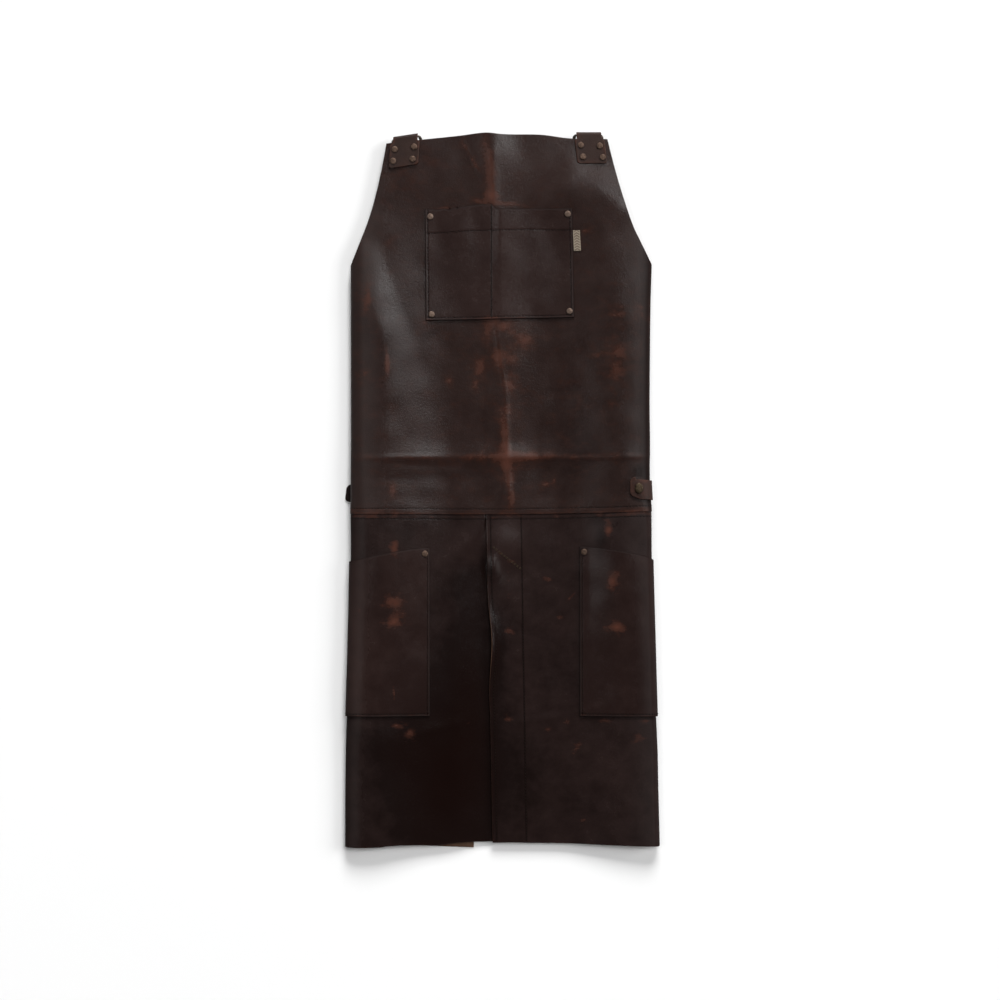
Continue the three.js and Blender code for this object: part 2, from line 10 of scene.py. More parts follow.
import bpy
import numpy as np
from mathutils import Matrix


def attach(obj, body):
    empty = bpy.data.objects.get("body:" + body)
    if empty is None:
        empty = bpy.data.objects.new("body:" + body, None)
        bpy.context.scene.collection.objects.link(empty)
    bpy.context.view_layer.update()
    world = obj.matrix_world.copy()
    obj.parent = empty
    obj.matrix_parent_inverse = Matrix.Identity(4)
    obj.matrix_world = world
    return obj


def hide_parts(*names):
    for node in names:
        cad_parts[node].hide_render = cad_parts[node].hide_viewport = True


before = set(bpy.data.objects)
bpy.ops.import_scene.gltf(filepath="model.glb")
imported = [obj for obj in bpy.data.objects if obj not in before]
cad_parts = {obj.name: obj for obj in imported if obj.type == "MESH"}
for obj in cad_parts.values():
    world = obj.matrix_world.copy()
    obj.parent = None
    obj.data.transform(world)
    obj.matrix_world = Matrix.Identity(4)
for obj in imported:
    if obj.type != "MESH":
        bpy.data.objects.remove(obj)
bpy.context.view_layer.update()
MM = 0.001

# %% [markdown]
# ## Camera and light
#
# The apron was seen from straight above, so the camera looks down the Z axis. Its lens
# follows from one number: how many millimetres of the apron one pixel shows. A long
# lens from far up keeps the outline almost free of perspective.
#
# The light of a product table could be one bright sky all round, but waxed leather
# would then turn grey with its reflection. So the light comes from a few large panels.
# The two main ones stand far off to the right and beyond the top edge, outside the
# angles at which the flat front mirrors the camera, and leave a soft shadow on the left
# and below. Two small ones near the camera put a sheen on slopes that face them, and a
# weak one beyond the hem lifts its shadows.

# %% Camera
MM_PER_PIXEL = 1.37
FRAME_PIXELS = 1000
FRAME_CENTRE = (-3.4, -14.4)  # the apron's point in the middle of the picture, mm
CAMERA_HEIGHT = 2.7  # metres
FRONT_HEIGHT = 0.012  # metres, the usual height of the apron's front
SENSOR = 36.0  # mm

camera_data = bpy.data.cameras.new("overhead_camera")
camera_data.sensor_width = SENSOR
view_width = MM_PER_PIXEL * FRAME_PIXELS * MM
camera_data.lens = SENSOR * (CAMERA_HEIGHT - FRONT_HEIGHT) / view_width
camera = bpy.data.objects.new("overhead_camera", camera_data)
camera.location = (FRAME_CENTRE[0] * MM, FRAME_CENTRE[1] * MM, CAMERA_HEIGHT)
bpy.context.scene.collection.objects.link(camera)
bpy.context.scene.camera = camera
print("lens:", round(camera_data.lens, 1), "mm, view:", round(view_width, 3), "m wide")

# %% Lights and exposure
LIGHT_PANELS = [
    # name, place in metres, width and height in metres, watts
    ("right_panel", (26.8, 7.2, 15.6), (14.4, 14.4), 5900.0),
    ("top_panel", (3.6, 29.0, 15.2), (16.0, 12.0), 14000.0),
    ("sheen_panel", (3.7, 4.0, 12.4), (3.4, 3.4), 420.0),
    ("left_sheen_panel", (-6.8, 1.6, 12.0), (3.2, 4.8), 270.0),
    ("low_panel", (0.6, -8.8, 6.8), (6.0, 3.0), 72.0),
]
SKY_STRENGTH = 0.03  # just enough to keep the deepest shadows from going black


def aim(place, target=(0.0, 0.0, 0.0)):
    """The turn that points an object's -Z from its place to a target, with +Y kept up."""
    gap = np.subtract(target, place)
    pitch = np.arctan2(np.hypot(gap[0], gap[1]), -gap[2])
    return (pitch, 0.0, np.arctan2(-gap[0], gap[1]))


for name, place, size, watts in LIGHT_PANELS:
    panel = bpy.data.lights.new(name, "AREA")
    panel.shape = "RECTANGLE"
    panel.size, panel.size_y = size
    panel.energy = watts
    lamp = bpy.data.objects.new(name, panel)
    lamp.location = place
    lamp.rotation_euler = aim(place)
    bpy.context.scene.collection.objects.link(lamp)

world = bpy.data.worlds.new("dim_studio")
world.use_nodes = True
sky = world.node_tree.nodes["Background"]
sky.inputs["Color"].default_value = (1.0, 1.0, 1.0, 1.0)
sky.inputs["Strength"].default_value = SKY_STRENGTH
bpy.context.scene.world = world
bpy.context.scene.view_settings.view_transform = "Standard"
print("light panels:", len(LIGHT_PANELS))

# %% [markdown]
# ## The folded sheet
#
# Every panel and pocket of the apron lies on one folded sheet of leather. Its front is
# almost flat, each side rolls under in a soft fold and a flap runs back below. A cloth
# simulation could fold a flat hide like this, but the folds of the real one are known,
# so the sheet is written down as sections instead. At each height, a table row says
# where the two folds are and how high the front and the flaps lie.
#
# The parameter u runs round a section: -1 to 1 over the front, 1 to 2 round the right
# fold and 2 to 3 along the right flap, and the same below zero on the left. All of this
# is in millimetres, and stays close to the values the CAD model was built with.

# %% Curves through table rows
def through(knots, values, at):
    """A smooth curve through rows: cubic spans with the neighbours' slope at each knot."""
    knots, values = np.asarray(knots, float), np.asarray(values, float)
    order = np.arange(len(knots))
    before, after = np.maximum(order - 1, 0), np.minimum(order + 1, len(knots) - 1)
    slopes = (values[after] - values[before]) / (knots[after] - knots[before])
    at = np.clip(at, knots[0], knots[-1])
    i = np.clip(np.searchsorted(knots, at) - 1, 0, len(knots) - 2)
    span = knots[i + 1] - knots[i]
    t = (at - knots[i]) / span
    rise = 3 * t**2 - 2 * t**3
    bend = slopes[i] * (t**3 - 2 * t**2 + t) + slopes[i + 1] * (t**3 - t**2)
    return values[i] * (1 - rise) + values[i + 1] * rise + bend * span


def mix(a, b, t):
    """From a to b in equal steps of t: a plus t times their difference."""
    return a + (b - a) * t


def ease(t):
    """From 0 to 1 with level ends: 3 t squared less 2 t cubed."""
    t = np.clip(t, 0.0, 1.0)
    return t * t * (3 - 2 * t)


def bell(distance, reach):
    """1 in the middle, falling off as e to the minus distance over reach, squared."""
    return np.exp(-((distance / reach) ** 2))


# %% Sections of the sheet
LEATHER = 2.0  # mm, the thickness of every hide
GAP = 0.4
LAYER = LEATHER + GAP
LEFT_FOLD_DEPTH, RIGHT_FOLD_DEPTH = (22.0, 18.0), (8.0, 22.0)  # below and above the waist
DEPTH_CHANGE_Y, DEPTH_CHANGE_RUN = -60.0, 100.0  # where the depth starts to change, and over how far
FLAP_WIDTH = 153.0
RAMP_START = 0.35  # share of the front that is level before it rises to the folds

# Columns: y, left fold, right fold, front's height in the middle and beside the folds, flap
SECTIONS = np.array(
    [
        (-490, -214.8, 214.8, 8.5, 19, 1),
        (-400, -214.4, 212.6, 9.2, 19, 1),
        (-360, -213.9, 211.8, 9.9, 20.2, 1.2),
        (-318, -212.4, 209.8, 10.6, 21.4, 3.65),
        (-200, -208.8, 206.4, 10.6, 21.4, 3.65),
        (-95, -206.8, 203.6, 10.6, 21.4, 3.65),
        (-33, -207, 203, 10.5, 21.4, 3.65),
        (20, -207, 200.8, 9.6, 21.2, 3.65),
        (60, -206.8, 201.3, 9, 20.4, 1.2),
        (120, -206.8, 200.8, 8.6, 19, 1),
        (250, -207, 202, 9.4, 18, 1),
        (312, -207.2, 203.8, 9.8, 15.5, 1),
        (380, -207.2, 203.8, 10.6, 13.4, 1),
        (435, -207.2, 203.8, 12.8, 12.8, 1),
        (490, -207.2, 203.8, 12.8, 12.8, 1),
    ]
)
SECTION_Y, LEFT_FOLD, RIGHT_FOLD, MIDDLE_Z, SIDE_Z, FLAP_Z = SECTIONS.T
print("sections:", len(SECTIONS))

# %% Dents, creases and folds
# Columns: x, y, reach across, reach along, height
DENTS = [
    (-14, 496, 23, 74, 3.4),  # ridge of the middle crease
    (10, 46, 150, 13, 1.35),  # ridge of the cross crease
    (-70, 18, 75, 16, -0.5),  # hollow under the cross crease
    (-4, -72, 30, 20, 2.4),  # swell over the slit
    (4, -112, 24, 16, -1.4),  # hollow below the slit's head
    (-12, -107, 8, 16, 4.2),  # knuckle of the lapping edge
]

# Where the shoulder tabs hold the hide flat, with the reach across and along
RIVETED_FLAT = ((-131, 463, 34, 38), (120, 467, 34, 38))

# Gentle unevenness: height, shortest and longest wave, seed
UNEVEN_HEIGHT, UNEVEN_WAVES, UNEVEN_SEED = 0.17, (38, 150), 11

# Sharp creases where the hide was folded or rubbed: two ends, reach, height
CREASES = [
    (-13, 470, -12, 392, 6.5, 0.8),
    (-57, 479, -31, 435, 2.5, 0.4),
    (-10, 232, 4, 130, 3.5, 0.4),
    (4, 130, 10, -26, 3.5, 0.5),
    (-191, 43, -50, 44.5, 3.5, 0.6),
    (-50, 44.5, 199, 45, 3.5, 0.6),
    (-150, 36, -40, 30, 5.0, -0.4),
    (-118, -335, -55, -318, 7.0, 0.5),
    (10, -322, 86, -310, 6.0, 0.5),
]

# Soft folds: two ends from bottom to top, height, reach to the left and to the right
FOLDS = [
    (8, -25, 2, 225, 1.6, 34, 46),
    (2, 225, -14, 400, 1.3, 34, 46),
    (172, 378, 90, 446, 4.3, 110, 41),
    (-150, -480, -168, -330, 2.0, 40, 60),
    (148, -88, 145, -42, 1.2, 40, 40),
]

# The long fold down the left side. Columns: y, x, height, reach to the left and to the right
LONG_FOLD = np.array(
    [
        (15, -154, 0.0, 40, 84),
        (60, -154, 1.7, 40, 82),
        (104, -154.5, 2.5, 40, 72),
        (152, -157, 2.6, 40, 58),
        (203, -162, 2.6, 38, 48),
        (250, -177, 2.7, 36, 42),
        (287, -187, 2.8, 34, 38),
        (324, -199, 2.5, 34, 36),
        (348, -211, 0.0, 34, 36),
    ]
)
print("dents:", len(DENTS), "creases:", len(CREASES), "folds:", len(FOLDS) + 1)

# %% The shape of a crease or fold
CREASE_FADE, FOLD_FADE = (12, 14), (21, 26)  # mm before an end where fading starts, and its reach


def beside_line(x, y, x0, y0, x1, y1, fade):
    """Distance to the right of a straight line, and a share that fades as a bell at its ends."""
    length = np.hypot(x1 - x0, y1 - y0)
    tx, ty = (x1 - x0) / length, (y1 - y0) / length
    along = (x - x0) * tx + (y - y0) * ty
    before_end, reach = fade
    beyond = np.maximum(0, np.abs(along - length / 2) - length / 2 + before_end)
    return (x - x0) * ty - (y - y0) * tx, bell(beyond, reach)


def near_line(x, y, x0, y0, x1, y1, reach):
    """A bell across a straight line, times its share."""
    away, share = beside_line(x, y, x0, y0, x1, y1, CREASE_FADE)
    return bell(away, reach) * share


def ridge_across(away, left, right):
    """A ridge's section: eased up on its left, falling off as a cubic on its right."""
    fall = np.clip(away / right, 0, 1)
    return np.where(away > 0, (1 - fall) ** 2 * (1 + 1.4 * fall), ease(1 + away / left))


def long_fold(x, y):
    """The same section along a curve: the distance is taken square to the curve's slant."""
    knots, *columns = LONG_FOLD.T
    line, height, left, right = (through(knots, column, y) for column in columns)
    slant = through(knots, columns[0], y + 1) - line
    return height * ridge_across((x - line) / np.hypot(1, slant), left, right)


def fold_ridge(x, y, x0, y0, x1, y1, left, right):
    """The same section along a straight line, times its share."""
    away, share = beside_line(x, y, x0, y0, x1, y1, FOLD_FADE)
    return ridge_across(away, left, right) * share


def soft_waves(x, y, shortest, longest, seed, count=18):
    """Gentle unevenness: sines of many directions and lengths, about 1 high at most."""
    draw = np.random.default_rng(seed)
    length = np.exp(draw.uniform(np.log(shortest), np.log(longest), count))
    turn, start = draw.uniform(0, np.pi, count), draw.uniform(0, 2 * np.pi, count)
    total = np.zeros(np.broadcast(x, y).shape)
    for wave, angle, phase in zip(length, turn, start):
        total += np.sin((x * np.cos(angle) + y * np.sin(angle)) * 2 * np.pi / wave + phase)
    return total / np.sqrt(count)


# %% The sheet itself
def fold_depth(side, y):
    """How far a fold's turn reaches: the right one is pressed flatter below the waist."""
    above = ease((y - DEPTH_CHANGE_Y) / DEPTH_CHANGE_RUN)
    return np.where(side < 0, mix(*LEFT_FOLD_DEPTH, above), mix(*RIGHT_FOLD_DEPTH, above))


def fold_start(side, y):
    """Where the front ends and a fold begins: the fold's outermost line less its depth."""
    line = np.where(side < 0, through(SECTION_Y, LEFT_FOLD, y), through(SECTION_Y, RIGHT_FOLD, y))
    return np.abs(line) - fold_depth(side, y)


def across_at(x, y):
    """The u of a point seen from above: its share of the front, or its turn on the fold."""
    start = fold_start(x, y)
    turn = np.arcsin(np.clip((np.abs(x) - start) / fold_depth(x, y), 0, 1))
    return np.sign(x) * np.where(np.abs(x) > start, 1 + turn / np.pi, np.abs(x) / start)


def front_height(x, y):
    """Height of the front: level in the middle, eased up to the folds, with its dents."""
    share = np.abs(x) / fold_start(x, y)
    rise = ease((share - RAMP_START) / (1 - RAMP_START))
    height = mix(through(SECTION_Y, MIDDLE_Z, y), through(SECTION_Y, SIDE_Z, y), rise)
    for dent_x, dent_y, across, along, depth in DENTS:
        height = height + depth * bell(x - dent_x, across) * bell(y - dent_y, along)
    relief = UNEVEN_HEIGHT * soft_waves(x, y, *UNEVEN_WAVES, UNEVEN_SEED) + long_fold(x, y)
    for x0, y0, x1, y1, reach, depth in CREASES:
        relief = relief + depth * near_line(x, y, x0, y0, x1, y1, reach)
    for x0, y0, x1, y1, depth, left, right in FOLDS:
        relief = relief + depth * fold_ridge(x, y, x0, y0, x1, y1, left, right)
    for flat_x, flat_y, across, along in RIVETED_FLAT:
        relief = relief * (1 - bell(x - flat_x, across) * bell(y - flat_y, along))
    return height + relief


def sheet_point(u, y):
    """A point of the folded sheet: the front, an oval turn and the flap under it."""
    side = np.where(u < 0, -1.0, 1.0)
    a = np.abs(u)
    start = fold_start(side, y)
    turn = np.clip(a - 1, 0, 1) * np.pi
    flap = np.maximum(LEATHER / 2, through(SECTION_Y, FLAP_Z, y))
    front = np.minimum(a, 1) * start
    top = front_height(side * front, y)
    x = front + fold_depth(side, y) * np.sin(turn) - np.maximum(a - 2, 0) * FLAP_WIDTH
    z = (top + flap) / 2 + (top - flap) / 2 * np.cos(turn)
    return np.stack([side * x, np.broadcast_to(y, x.shape), z], axis=-1)


def unit(v):
    """Vectors divided by their own lengths."""
    return v / np.maximum(np.linalg.norm(v, axis=-1, keepdims=True), 1e-12)


STEP_U, STEP_Y = 0.002, 1.0  # how far apart the points are that give the sheet's slope


def on_sheet(u, y, lift=0.0):
    """Points lifted off the sheet, and the outward directions that they are lifted along."""
    u, y = np.broadcast_arrays(np.asarray(u, float), np.asarray(y, float))
    along_u = sheet_point(u + STEP_U, y) - sheet_point(u - STEP_U, y)
    along_y = sheet_point(u, y + STEP_Y) - sheet_point(u, y - STEP_Y)
    normal = unit(np.cross(along_u, along_y))
    return sheet_point(u, y) + normal * np.asarray(lift)[..., None], normal


middle_point, _ = on_sheet(np.array([0.0]), np.array([0.0]))
print("front's height at the origin:", round(float(middle_point[0, 2]), 2), "mm")

# %% [markdown]
# ## From a grid to a mesh
#
# A leather piece is a wall: a sheet of points on its grain side, a sheet on its flesh
# side and a cut edge between them. A Solidify modifier could give the thickness, but
# its edge is square. Here the edge is made of a few rings that bow out a little, as a
# burnished edge does. Each point also carries marks that the finish reads: how rubbed
# the leather is, whether it is flesh side, and how close the edge is.

# %% Meshes from arrays
def new_piece(name, points, quads, marks=None):
    """A mesh object from points in mm and an array of quads, smooth, with float marks."""
    mesh = bpy.data.meshes.new(name)
    mesh.vertices.add(len(points))
    mesh.vertices.foreach_set("co", (np.asarray(points) * MM).astype(np.float32).ravel())
    mesh.loops.add(quads.size)
    mesh.loops.foreach_set("vertex_index", quads.astype(np.int32).ravel())
    mesh.polygons.add(len(quads))
    mesh.polygons.foreach_set("loop_start", np.arange(0, quads.size, 4, dtype=np.int32))
    mesh.update(calc_edges=True)
    mesh.validate()
    mesh.shade_smooth()
    for mark, values in (marks or {}).items():
        layer = mesh.attributes.new(mark, "FLOAT", "POINT")
        layer.data.foreach_set("value", np.asarray(values, np.float32).ravel())
    piece = bpy.data.objects.new(name, mesh)
    bpy.context.scene.collection.objects.link(piece)
    return piece


def grid_quads(rows, columns, first=0, flip=False):
    """Quads over a grid of points that are numbered row by row."""
    at = first + np.arange(rows * columns).reshape(rows, columns)
    corners = [at[:-1, :-1], at[:-1, 1:], at[1:, 1:], at[1:, :-1]]
    quads = np.stack(corners[::-1] if flip else corners, axis=-1)
    return quads.reshape(-1, 4)


def rim_of(grid):
    """The points round a grid's outside, anticlockwise."""
    return np.concatenate([grid[0, :-1], grid[:-1, -1], grid[-1, :0:-1], grid[:0:-1, 0]])


def edge_distance(points):
    """How far each point is from the grid's four sides, measured along its lines."""
    across = np.linalg.norm(np.diff(points, axis=1), axis=-1)
    along = np.linalg.norm(np.diff(points, axis=0), axis=-1)
    x = np.concatenate([np.zeros((points.shape[0], 1)), np.cumsum(across, axis=1)], axis=1)
    y = np.concatenate([np.zeros((1, points.shape[1])), np.cumsum(along, axis=0)], axis=0)
    return x, x[:, -1:] - x, y, y[-1:] - y


# %% A wall of leather
MARKS = ("rub", "tone_and_shading", "flesh", "edge", "side", "matt")
RIM_RINGS = 4
EDGE_REACH = 1.6  # mm, how far from the cut the edge mark reaches
SIDE_FROM, SIDE_GAIN = 0.985, 8  # a normal that points up less than this is tilted, and how fast


def leather_wall(name, middle, normal, marks, thickness=LEATHER, bow=0.35, raw=0.15):
    """A wall: middle plus and minus half the thickness, closed by a bowed edge.

    Ring k of the edge is the middle plus half the wall times the cosine of its angle,
    pushed outwards by the bow times the root of its sine. Raw is how much the cut edge
    shows of the flesh side's colour. Both are one value, or one for each point of the grid.
    """
    half = normal * thickness / 2
    outer, inner = middle + half, middle - half
    rows, columns = middle.shape[:2]
    count = rows * columns
    push = np.zeros_like(middle)
    push[0] += unit(middle[0] - middle[1])
    push[-1] += unit(middle[-1] - middle[-2])
    push[:, 0] += unit(middle[:, 0] - middle[:, 1])
    push[:, -1] += unit(middle[:, -1] - middle[:, -2])
    centre, wall, out = rim_of(middle), rim_of(half), unit(rim_of(push))
    angles = np.linspace(0, np.pi, RIM_RINGS + 2)[1:-1, None, None]
    out = out * rim_of(np.broadcast_to(bow, (rows, columns)))[:, None]
    rings = centre + wall * np.cos(angles) + out * np.sqrt(np.sin(angles))
    points = np.concatenate([outer.reshape(-1, 3), inner.reshape(-1, 3), rings.reshape(-1, 3)])

    number = np.arange(count).reshape(rows, columns)
    length = len(centre)
    loops = [rim_of(number)]
    loops += [2 * count + k * length + np.arange(length) for k in range(RIM_RINGS)]
    loops += [rim_of(number) + count]
    strips = [
        np.stack([a, b, np.roll(b, -1), np.roll(a, -1)], axis=-1)
        for a, b in zip(loops[:-1], loops[1:])
    ]
    quads = np.concatenate(
        [grid_quads(rows, columns), grid_quads(rows, columns, count, flip=True), *strips]
    )
    left, right, bottom, top = edge_distance(outer)
    near = np.minimum(np.minimum(left, right), np.minimum(bottom, top))
    full = {mark: np.zeros(len(points)) for mark in MARKS}
    full["flesh"][count : 2 * count] = 1.0
    full["flesh"][2 * count :] = np.tile(rim_of(np.broadcast_to(raw, (rows, columns))), RIM_RINGS)
    full["edge"][:count] = np.exp(-near / EDGE_REACH).ravel()
    full["edge"][2 * count :] = 1.0
    full["side"][:count] = np.clip((SIDE_FROM - np.abs(normal[..., 2])) * SIDE_GAIN, 0, 1).ravel()
    for mark, values in marks.items():
        full.setdefault(mark, np.zeros(len(points)))
        full[mark][:count] = np.broadcast_to(values, (rows, columns)).ravel()
    return new_piece(name, points, quads, full)


# %% Copies, and dressing a piece
def many(name, copies, quads):
    """One piece from copies of a shape; each copy's points are numbered on from the last one's."""
    shift = copies.shape[1] * np.arange(len(copies))[:, None, None]
    return new_piece(name, copies.reshape(-1, 3), (quads[None] + shift).reshape(-1, 4))


def placed(points, places, x, z):
    """Copies of a shape at each place: its X and Z turned to the given directions, Y across them."""
    basis = np.stack([x, np.cross(z, x), z], axis=-1)
    return np.einsum("nij,pj->npi", basis, points) + places[:, None, :]


def dress(piece, finish, slot, *nodes, body="apron"):
    """Give a piece its finish and body, and hide the nodes of the frame it stands for; the slot is not
    used.
    """
    piece.data.materials.append(finish)
    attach(piece, body)
    if nodes:
        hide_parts(*nodes)
    print(piece.name, "faces:", len(piece.data.polygons))


# %% [markdown]
# ## Waxed pull-up leather
#
# This leather is dyed dark and stuffed with wax and oil. Where it is bent or rubbed the
# wax moves and a rust-brown colour comes up, so creases and scuffs are lighter than
# the rest. A painted picture could hold that, but it would belong to one apron only.
# Here the rub mark says where it may be lighter, and noise breaks it into blotches and
# scratches. Fine grain and pores are bump, and the flesh side is a pale, dull suede.

# %% Node helpers
def new_material(name):
    """A material with nodes, its tree and its shader."""
    material = bpy.data.materials.new(name)
    material.use_nodes = True
    tree = material.node_tree
    return material, tree, tree.nodes["Principled BSDF"]


def node(tree, kind, links=None, **settings):
    """Add a node, set its properties or input values by name, and link its inputs."""
    made = tree.nodes.new(kind)
    for key, value in settings.items():
        if hasattr(made, key):
            setattr(made, key, value)
        else:
            made.inputs[key.replace("_", " ")].default_value = value
    for socket, source in (links or {}).items():
        tree.links.new(source, made.inputs[socket])
    return made


def maths(tree, operation, a, b=0.5, c=0.0, clamp=False):
    """One Math node; a number or an output may be given for each input."""
    made = tree.nodes.new("ShaderNodeMath")
    made.operation, made.use_clamp = operation, clamp
    for k, value in enumerate((a, b, c)):
        if isinstance(value, (int, float)):
            made.inputs[k].default_value = value
        else:
            tree.links.new(value, made.inputs[k])
    return made.outputs[0]


def times(tree, a, b, plus=None):
    """a times b, plus a third value where one is given."""
    if plus is None:
        return maths(tree, "MULTIPLY", a, b)
    return maths(tree, "MULTIPLY_ADD", a, b, plus)


# %% Colour, noise and bump
def blend_colour(tree, share, a, b):
    """Mix two colours, each a tuple or an output, by a share."""
    made = tree.nodes.new("ShaderNodeMix")
    made.data_type = "RGBA"
    for socket, value in (("Factor", share), ("A", a), ("B", b)):
        wanted = [s for s in made.inputs if s.name == socket and s.enabled][0]
        if isinstance(value, (int, float)):
            wanted.default_value = value
        elif isinstance(value, tuple):
            wanted.default_value = (*value, 1.0)
        else:
            tree.links.new(value, wanted)
    return [s for s in made.outputs if s.enabled][0]


def place_on(tree):
    """Coordinates that stay with the piece, in metres."""
    return node(tree, "ShaderNodeTexCoord").outputs["Object"]


def read_mark(tree, mark):
    """One of the marks that the points of a mesh carry."""
    return node(tree, "ShaderNodeAttribute", attribute_name=mark).outputs["Fac"]


def noise(tree, where, scale, detail, roughness, stretch=None):
    """Noise on the given coordinates; stretch scales them along x, y and z first."""
    if stretch is not None:
        mapping = node(tree, "ShaderNodeMapping", {"Vector": where})
        mapping.inputs["Scale"].default_value = stretch
        where = mapping.outputs["Vector"]
    made = node(tree, "ShaderNodeTexNoise", {"Vector": where}, Scale=scale, Detail=detail)
    made.inputs["Roughness"].default_value = roughness
    return made.outputs["Fac"]


def spread_out(tree, value, low, high):
    """Stretch a value so that low becomes 0 and high becomes 1, clamped."""
    made = node(tree, "ShaderNodeMapRange", {"Value": value}, clamp=True)
    made.inputs["From Min"].default_value = low
    made.inputs["From Max"].default_value = high
    return made.outputs["Result"]


def surface_of(tree, shader, colour, height, strength, distance):
    """Link a colour to a shader, and a height, in metres of bump, to its normal."""
    tree.links.new(colour, shader.inputs["Base Color"])
    bump = node(tree, "ShaderNodeBump", {"Height": height}, Strength=strength, Distance=distance)
    tree.links.new(bump.outputs["Normal"], shader.inputs["Normal"])


# %% The leather finish
RUST = (0.066, 0.0218, 0.0134)
DEEP = (0.0310, 0.0115, 0.0074)
SUEDE = (0.105, 0.056, 0.034)
# Near black: painted shade where the tone mark is far below zero, and the blackened edges of the
# pockets.
SHADE_AND_BURNISH_BLACK = (0.0056, 0.0020, 0.0014)
ACROSS_GRAIN = (1.0, 1.7, 1.0)  # scratches and lines run more across the apron than along it


def leather_finish(name, dark, light, gloss, worn=0.2, shine=0.15, calm=0.0, burnish_and_shade=0.0):
    """Mottled dark wax, rust where rubbed, suede behind; grain, pores and fine lines in bump.

    Gloss is the roughness before marks are added, worn is how rusty the edges are, calm keeps
    the mottling from turning red by itself, and burnish blackens the edges: a burnished edge,
    and painted shade for the dark line under it.
    """
    material, tree, shader = new_material(name)
    where = place_on(tree)
    marks = {mark: read_mark(tree, mark) for mark in MARKS}
    clouds = noise(tree, where, 7.0, 5.0, 0.55)
    mottle = noise(tree, where, 46.0, 7.0, 0.62)
    specks = noise(tree, where, 330.0, 3.0, 0.6)
    scuffs = noise(tree, where, 62.0, 8.0, 0.68, stretch=ACROSS_GRAIN)

    shade = times(tree, clouds, 0.5, times(tree, mottle, 0.5))
    # The tone mark shifts the mottling: the hides' own tone, and painted light and shade where the tone
    # table, the seams and the rolls put it.
    shade = times(tree, marks["tone_and_shading"], 0.3, shade)
    colour = blend_colour(tree, spread_out(tree, shade, 0.30, 0.70), dark, light)
    patches = spread_out(tree, noise(tree, where, 115.0, 6.0, 0.62), 0.30, 0.70)
    patchy = times(tree, marks["rub"], times(tree, patches, 0.62, 0.54))
    broken = times(tree, maths(tree, "SUBTRACT", scuffs, 0.5), 1.35, patchy)
    tinted = times(tree, spread_out(tree, broken, 0.02 + calm, 0.56 + calm), 0.85)
    rubbed = spread_out(tree, broken, 0.26, 1.36)
    colour = blend_colour(tree, tinted, colour, DEEP)
    colour = blend_colour(tree, rubbed, colour, RUST)
    worn_edge = times(tree, marks["edge"], spread_out(tree, scuffs, 0.40, 0.72))
    colour = blend_colour(tree, times(tree, worn_edge, worn), colour, RUST)
    # Tones far below zero turn near black; most of this is painted shade in hollows, grooves, nicks,
    # under the lap and on the right roll.
    colour = blend_colour(tree, spread_out(tree, marks["tone_and_shading"], -2.0, -0.6), SHADE_AND_BURNISH_BLACK, colour)
    # The edges go near black: a burnished edge, and painted shade for the dark line under a pocket's
    # edge.
    rim = maths(tree, "POWER", marks["edge"], 2.5)
    colour = blend_colour(tree, times(tree, rim, burnish_and_shade), colour, SHADE_AND_BURNISH_BLACK)
    dark_suede = tuple(0.6 * c for c in SUEDE)
    flesh_tone = blend_colour(tree, spread_out(tree, mottle, 0.3, 0.7), SUEDE, dark_suede)
    colour = blend_colour(tree, marks["flesh"], colour, flesh_tone)

    dull = times(tree, mottle, 0.14, gloss - 0.07)
    dulled_by = [(rubbed, 0.16), (marks["side"], 0.25), (rim, burnish_and_shade)]
    dulled_by += [(marks["matt"], 0.5), (marks["tone_and_shading"], 0.04)]
    for source, amount in dulled_by:
        dull = times(tree, source, amount, dull)
    dull = maths(tree, "MULTIPLY_ADD", marks["flesh"], 0.45, dull, clamp=True)
    tree.links.new(dull, shader.inputs["Roughness"])
    shader.inputs["Specular IOR Level"].default_value = shine

    grain = node(tree, "ShaderNodeTexVoronoi", {"Vector": where}, feature="SMOOTH_F1", Scale=820.0)
    grain.inputs["Smoothness"].default_value = 0.6
    lines = noise(tree, where, 150.0, 5.0, 0.6, stretch=ACROSS_GRAIN)
    height = times(tree, grain.outputs["Distance"], -0.5, times(tree, specks, 0.8))
    height = times(tree, lines, 0.45, height)
    surface_of(tree, shader, colour, height, 0.26, 0.0006)
    return material


# %% Four leathers
BIB_FINISH = leather_finish(
    "bib_wax_leather", (0.0124, 0.0065, 0.0055), (0.0228, 0.0124, 0.0106), 0.24, shine=0.19
)
LEG_FINISH = leather_finish(
    "leg_wax_leather", (0.0070, 0.0038, 0.0034), (0.0194, 0.0110, 0.0099), 0.25, calm=0.30
)
# Its edges are blackened: burnished, and painted shade for the dark line under them.
POCKET_FINISH = leather_finish(
    "pocket_wax_leather", (0.0136, 0.0070, 0.0061), (0.0248, 0.0134, 0.0116), 0.26,
    worn=0.0, shine=0.17, calm=0.25, burnish_and_shade=1.0,
)
TAB_FINISH = leather_finish(
    "tab_wax_leather", (0.0138, 0.0066, 0.0052), (0.0285, 0.0143, 0.0108), 0.42, worn=0.9
)
print("leather finishes:", [m.name for m in (BIB_FINISH, LEG_FINISH, POCKET_FINISH, TAB_FINISH)])
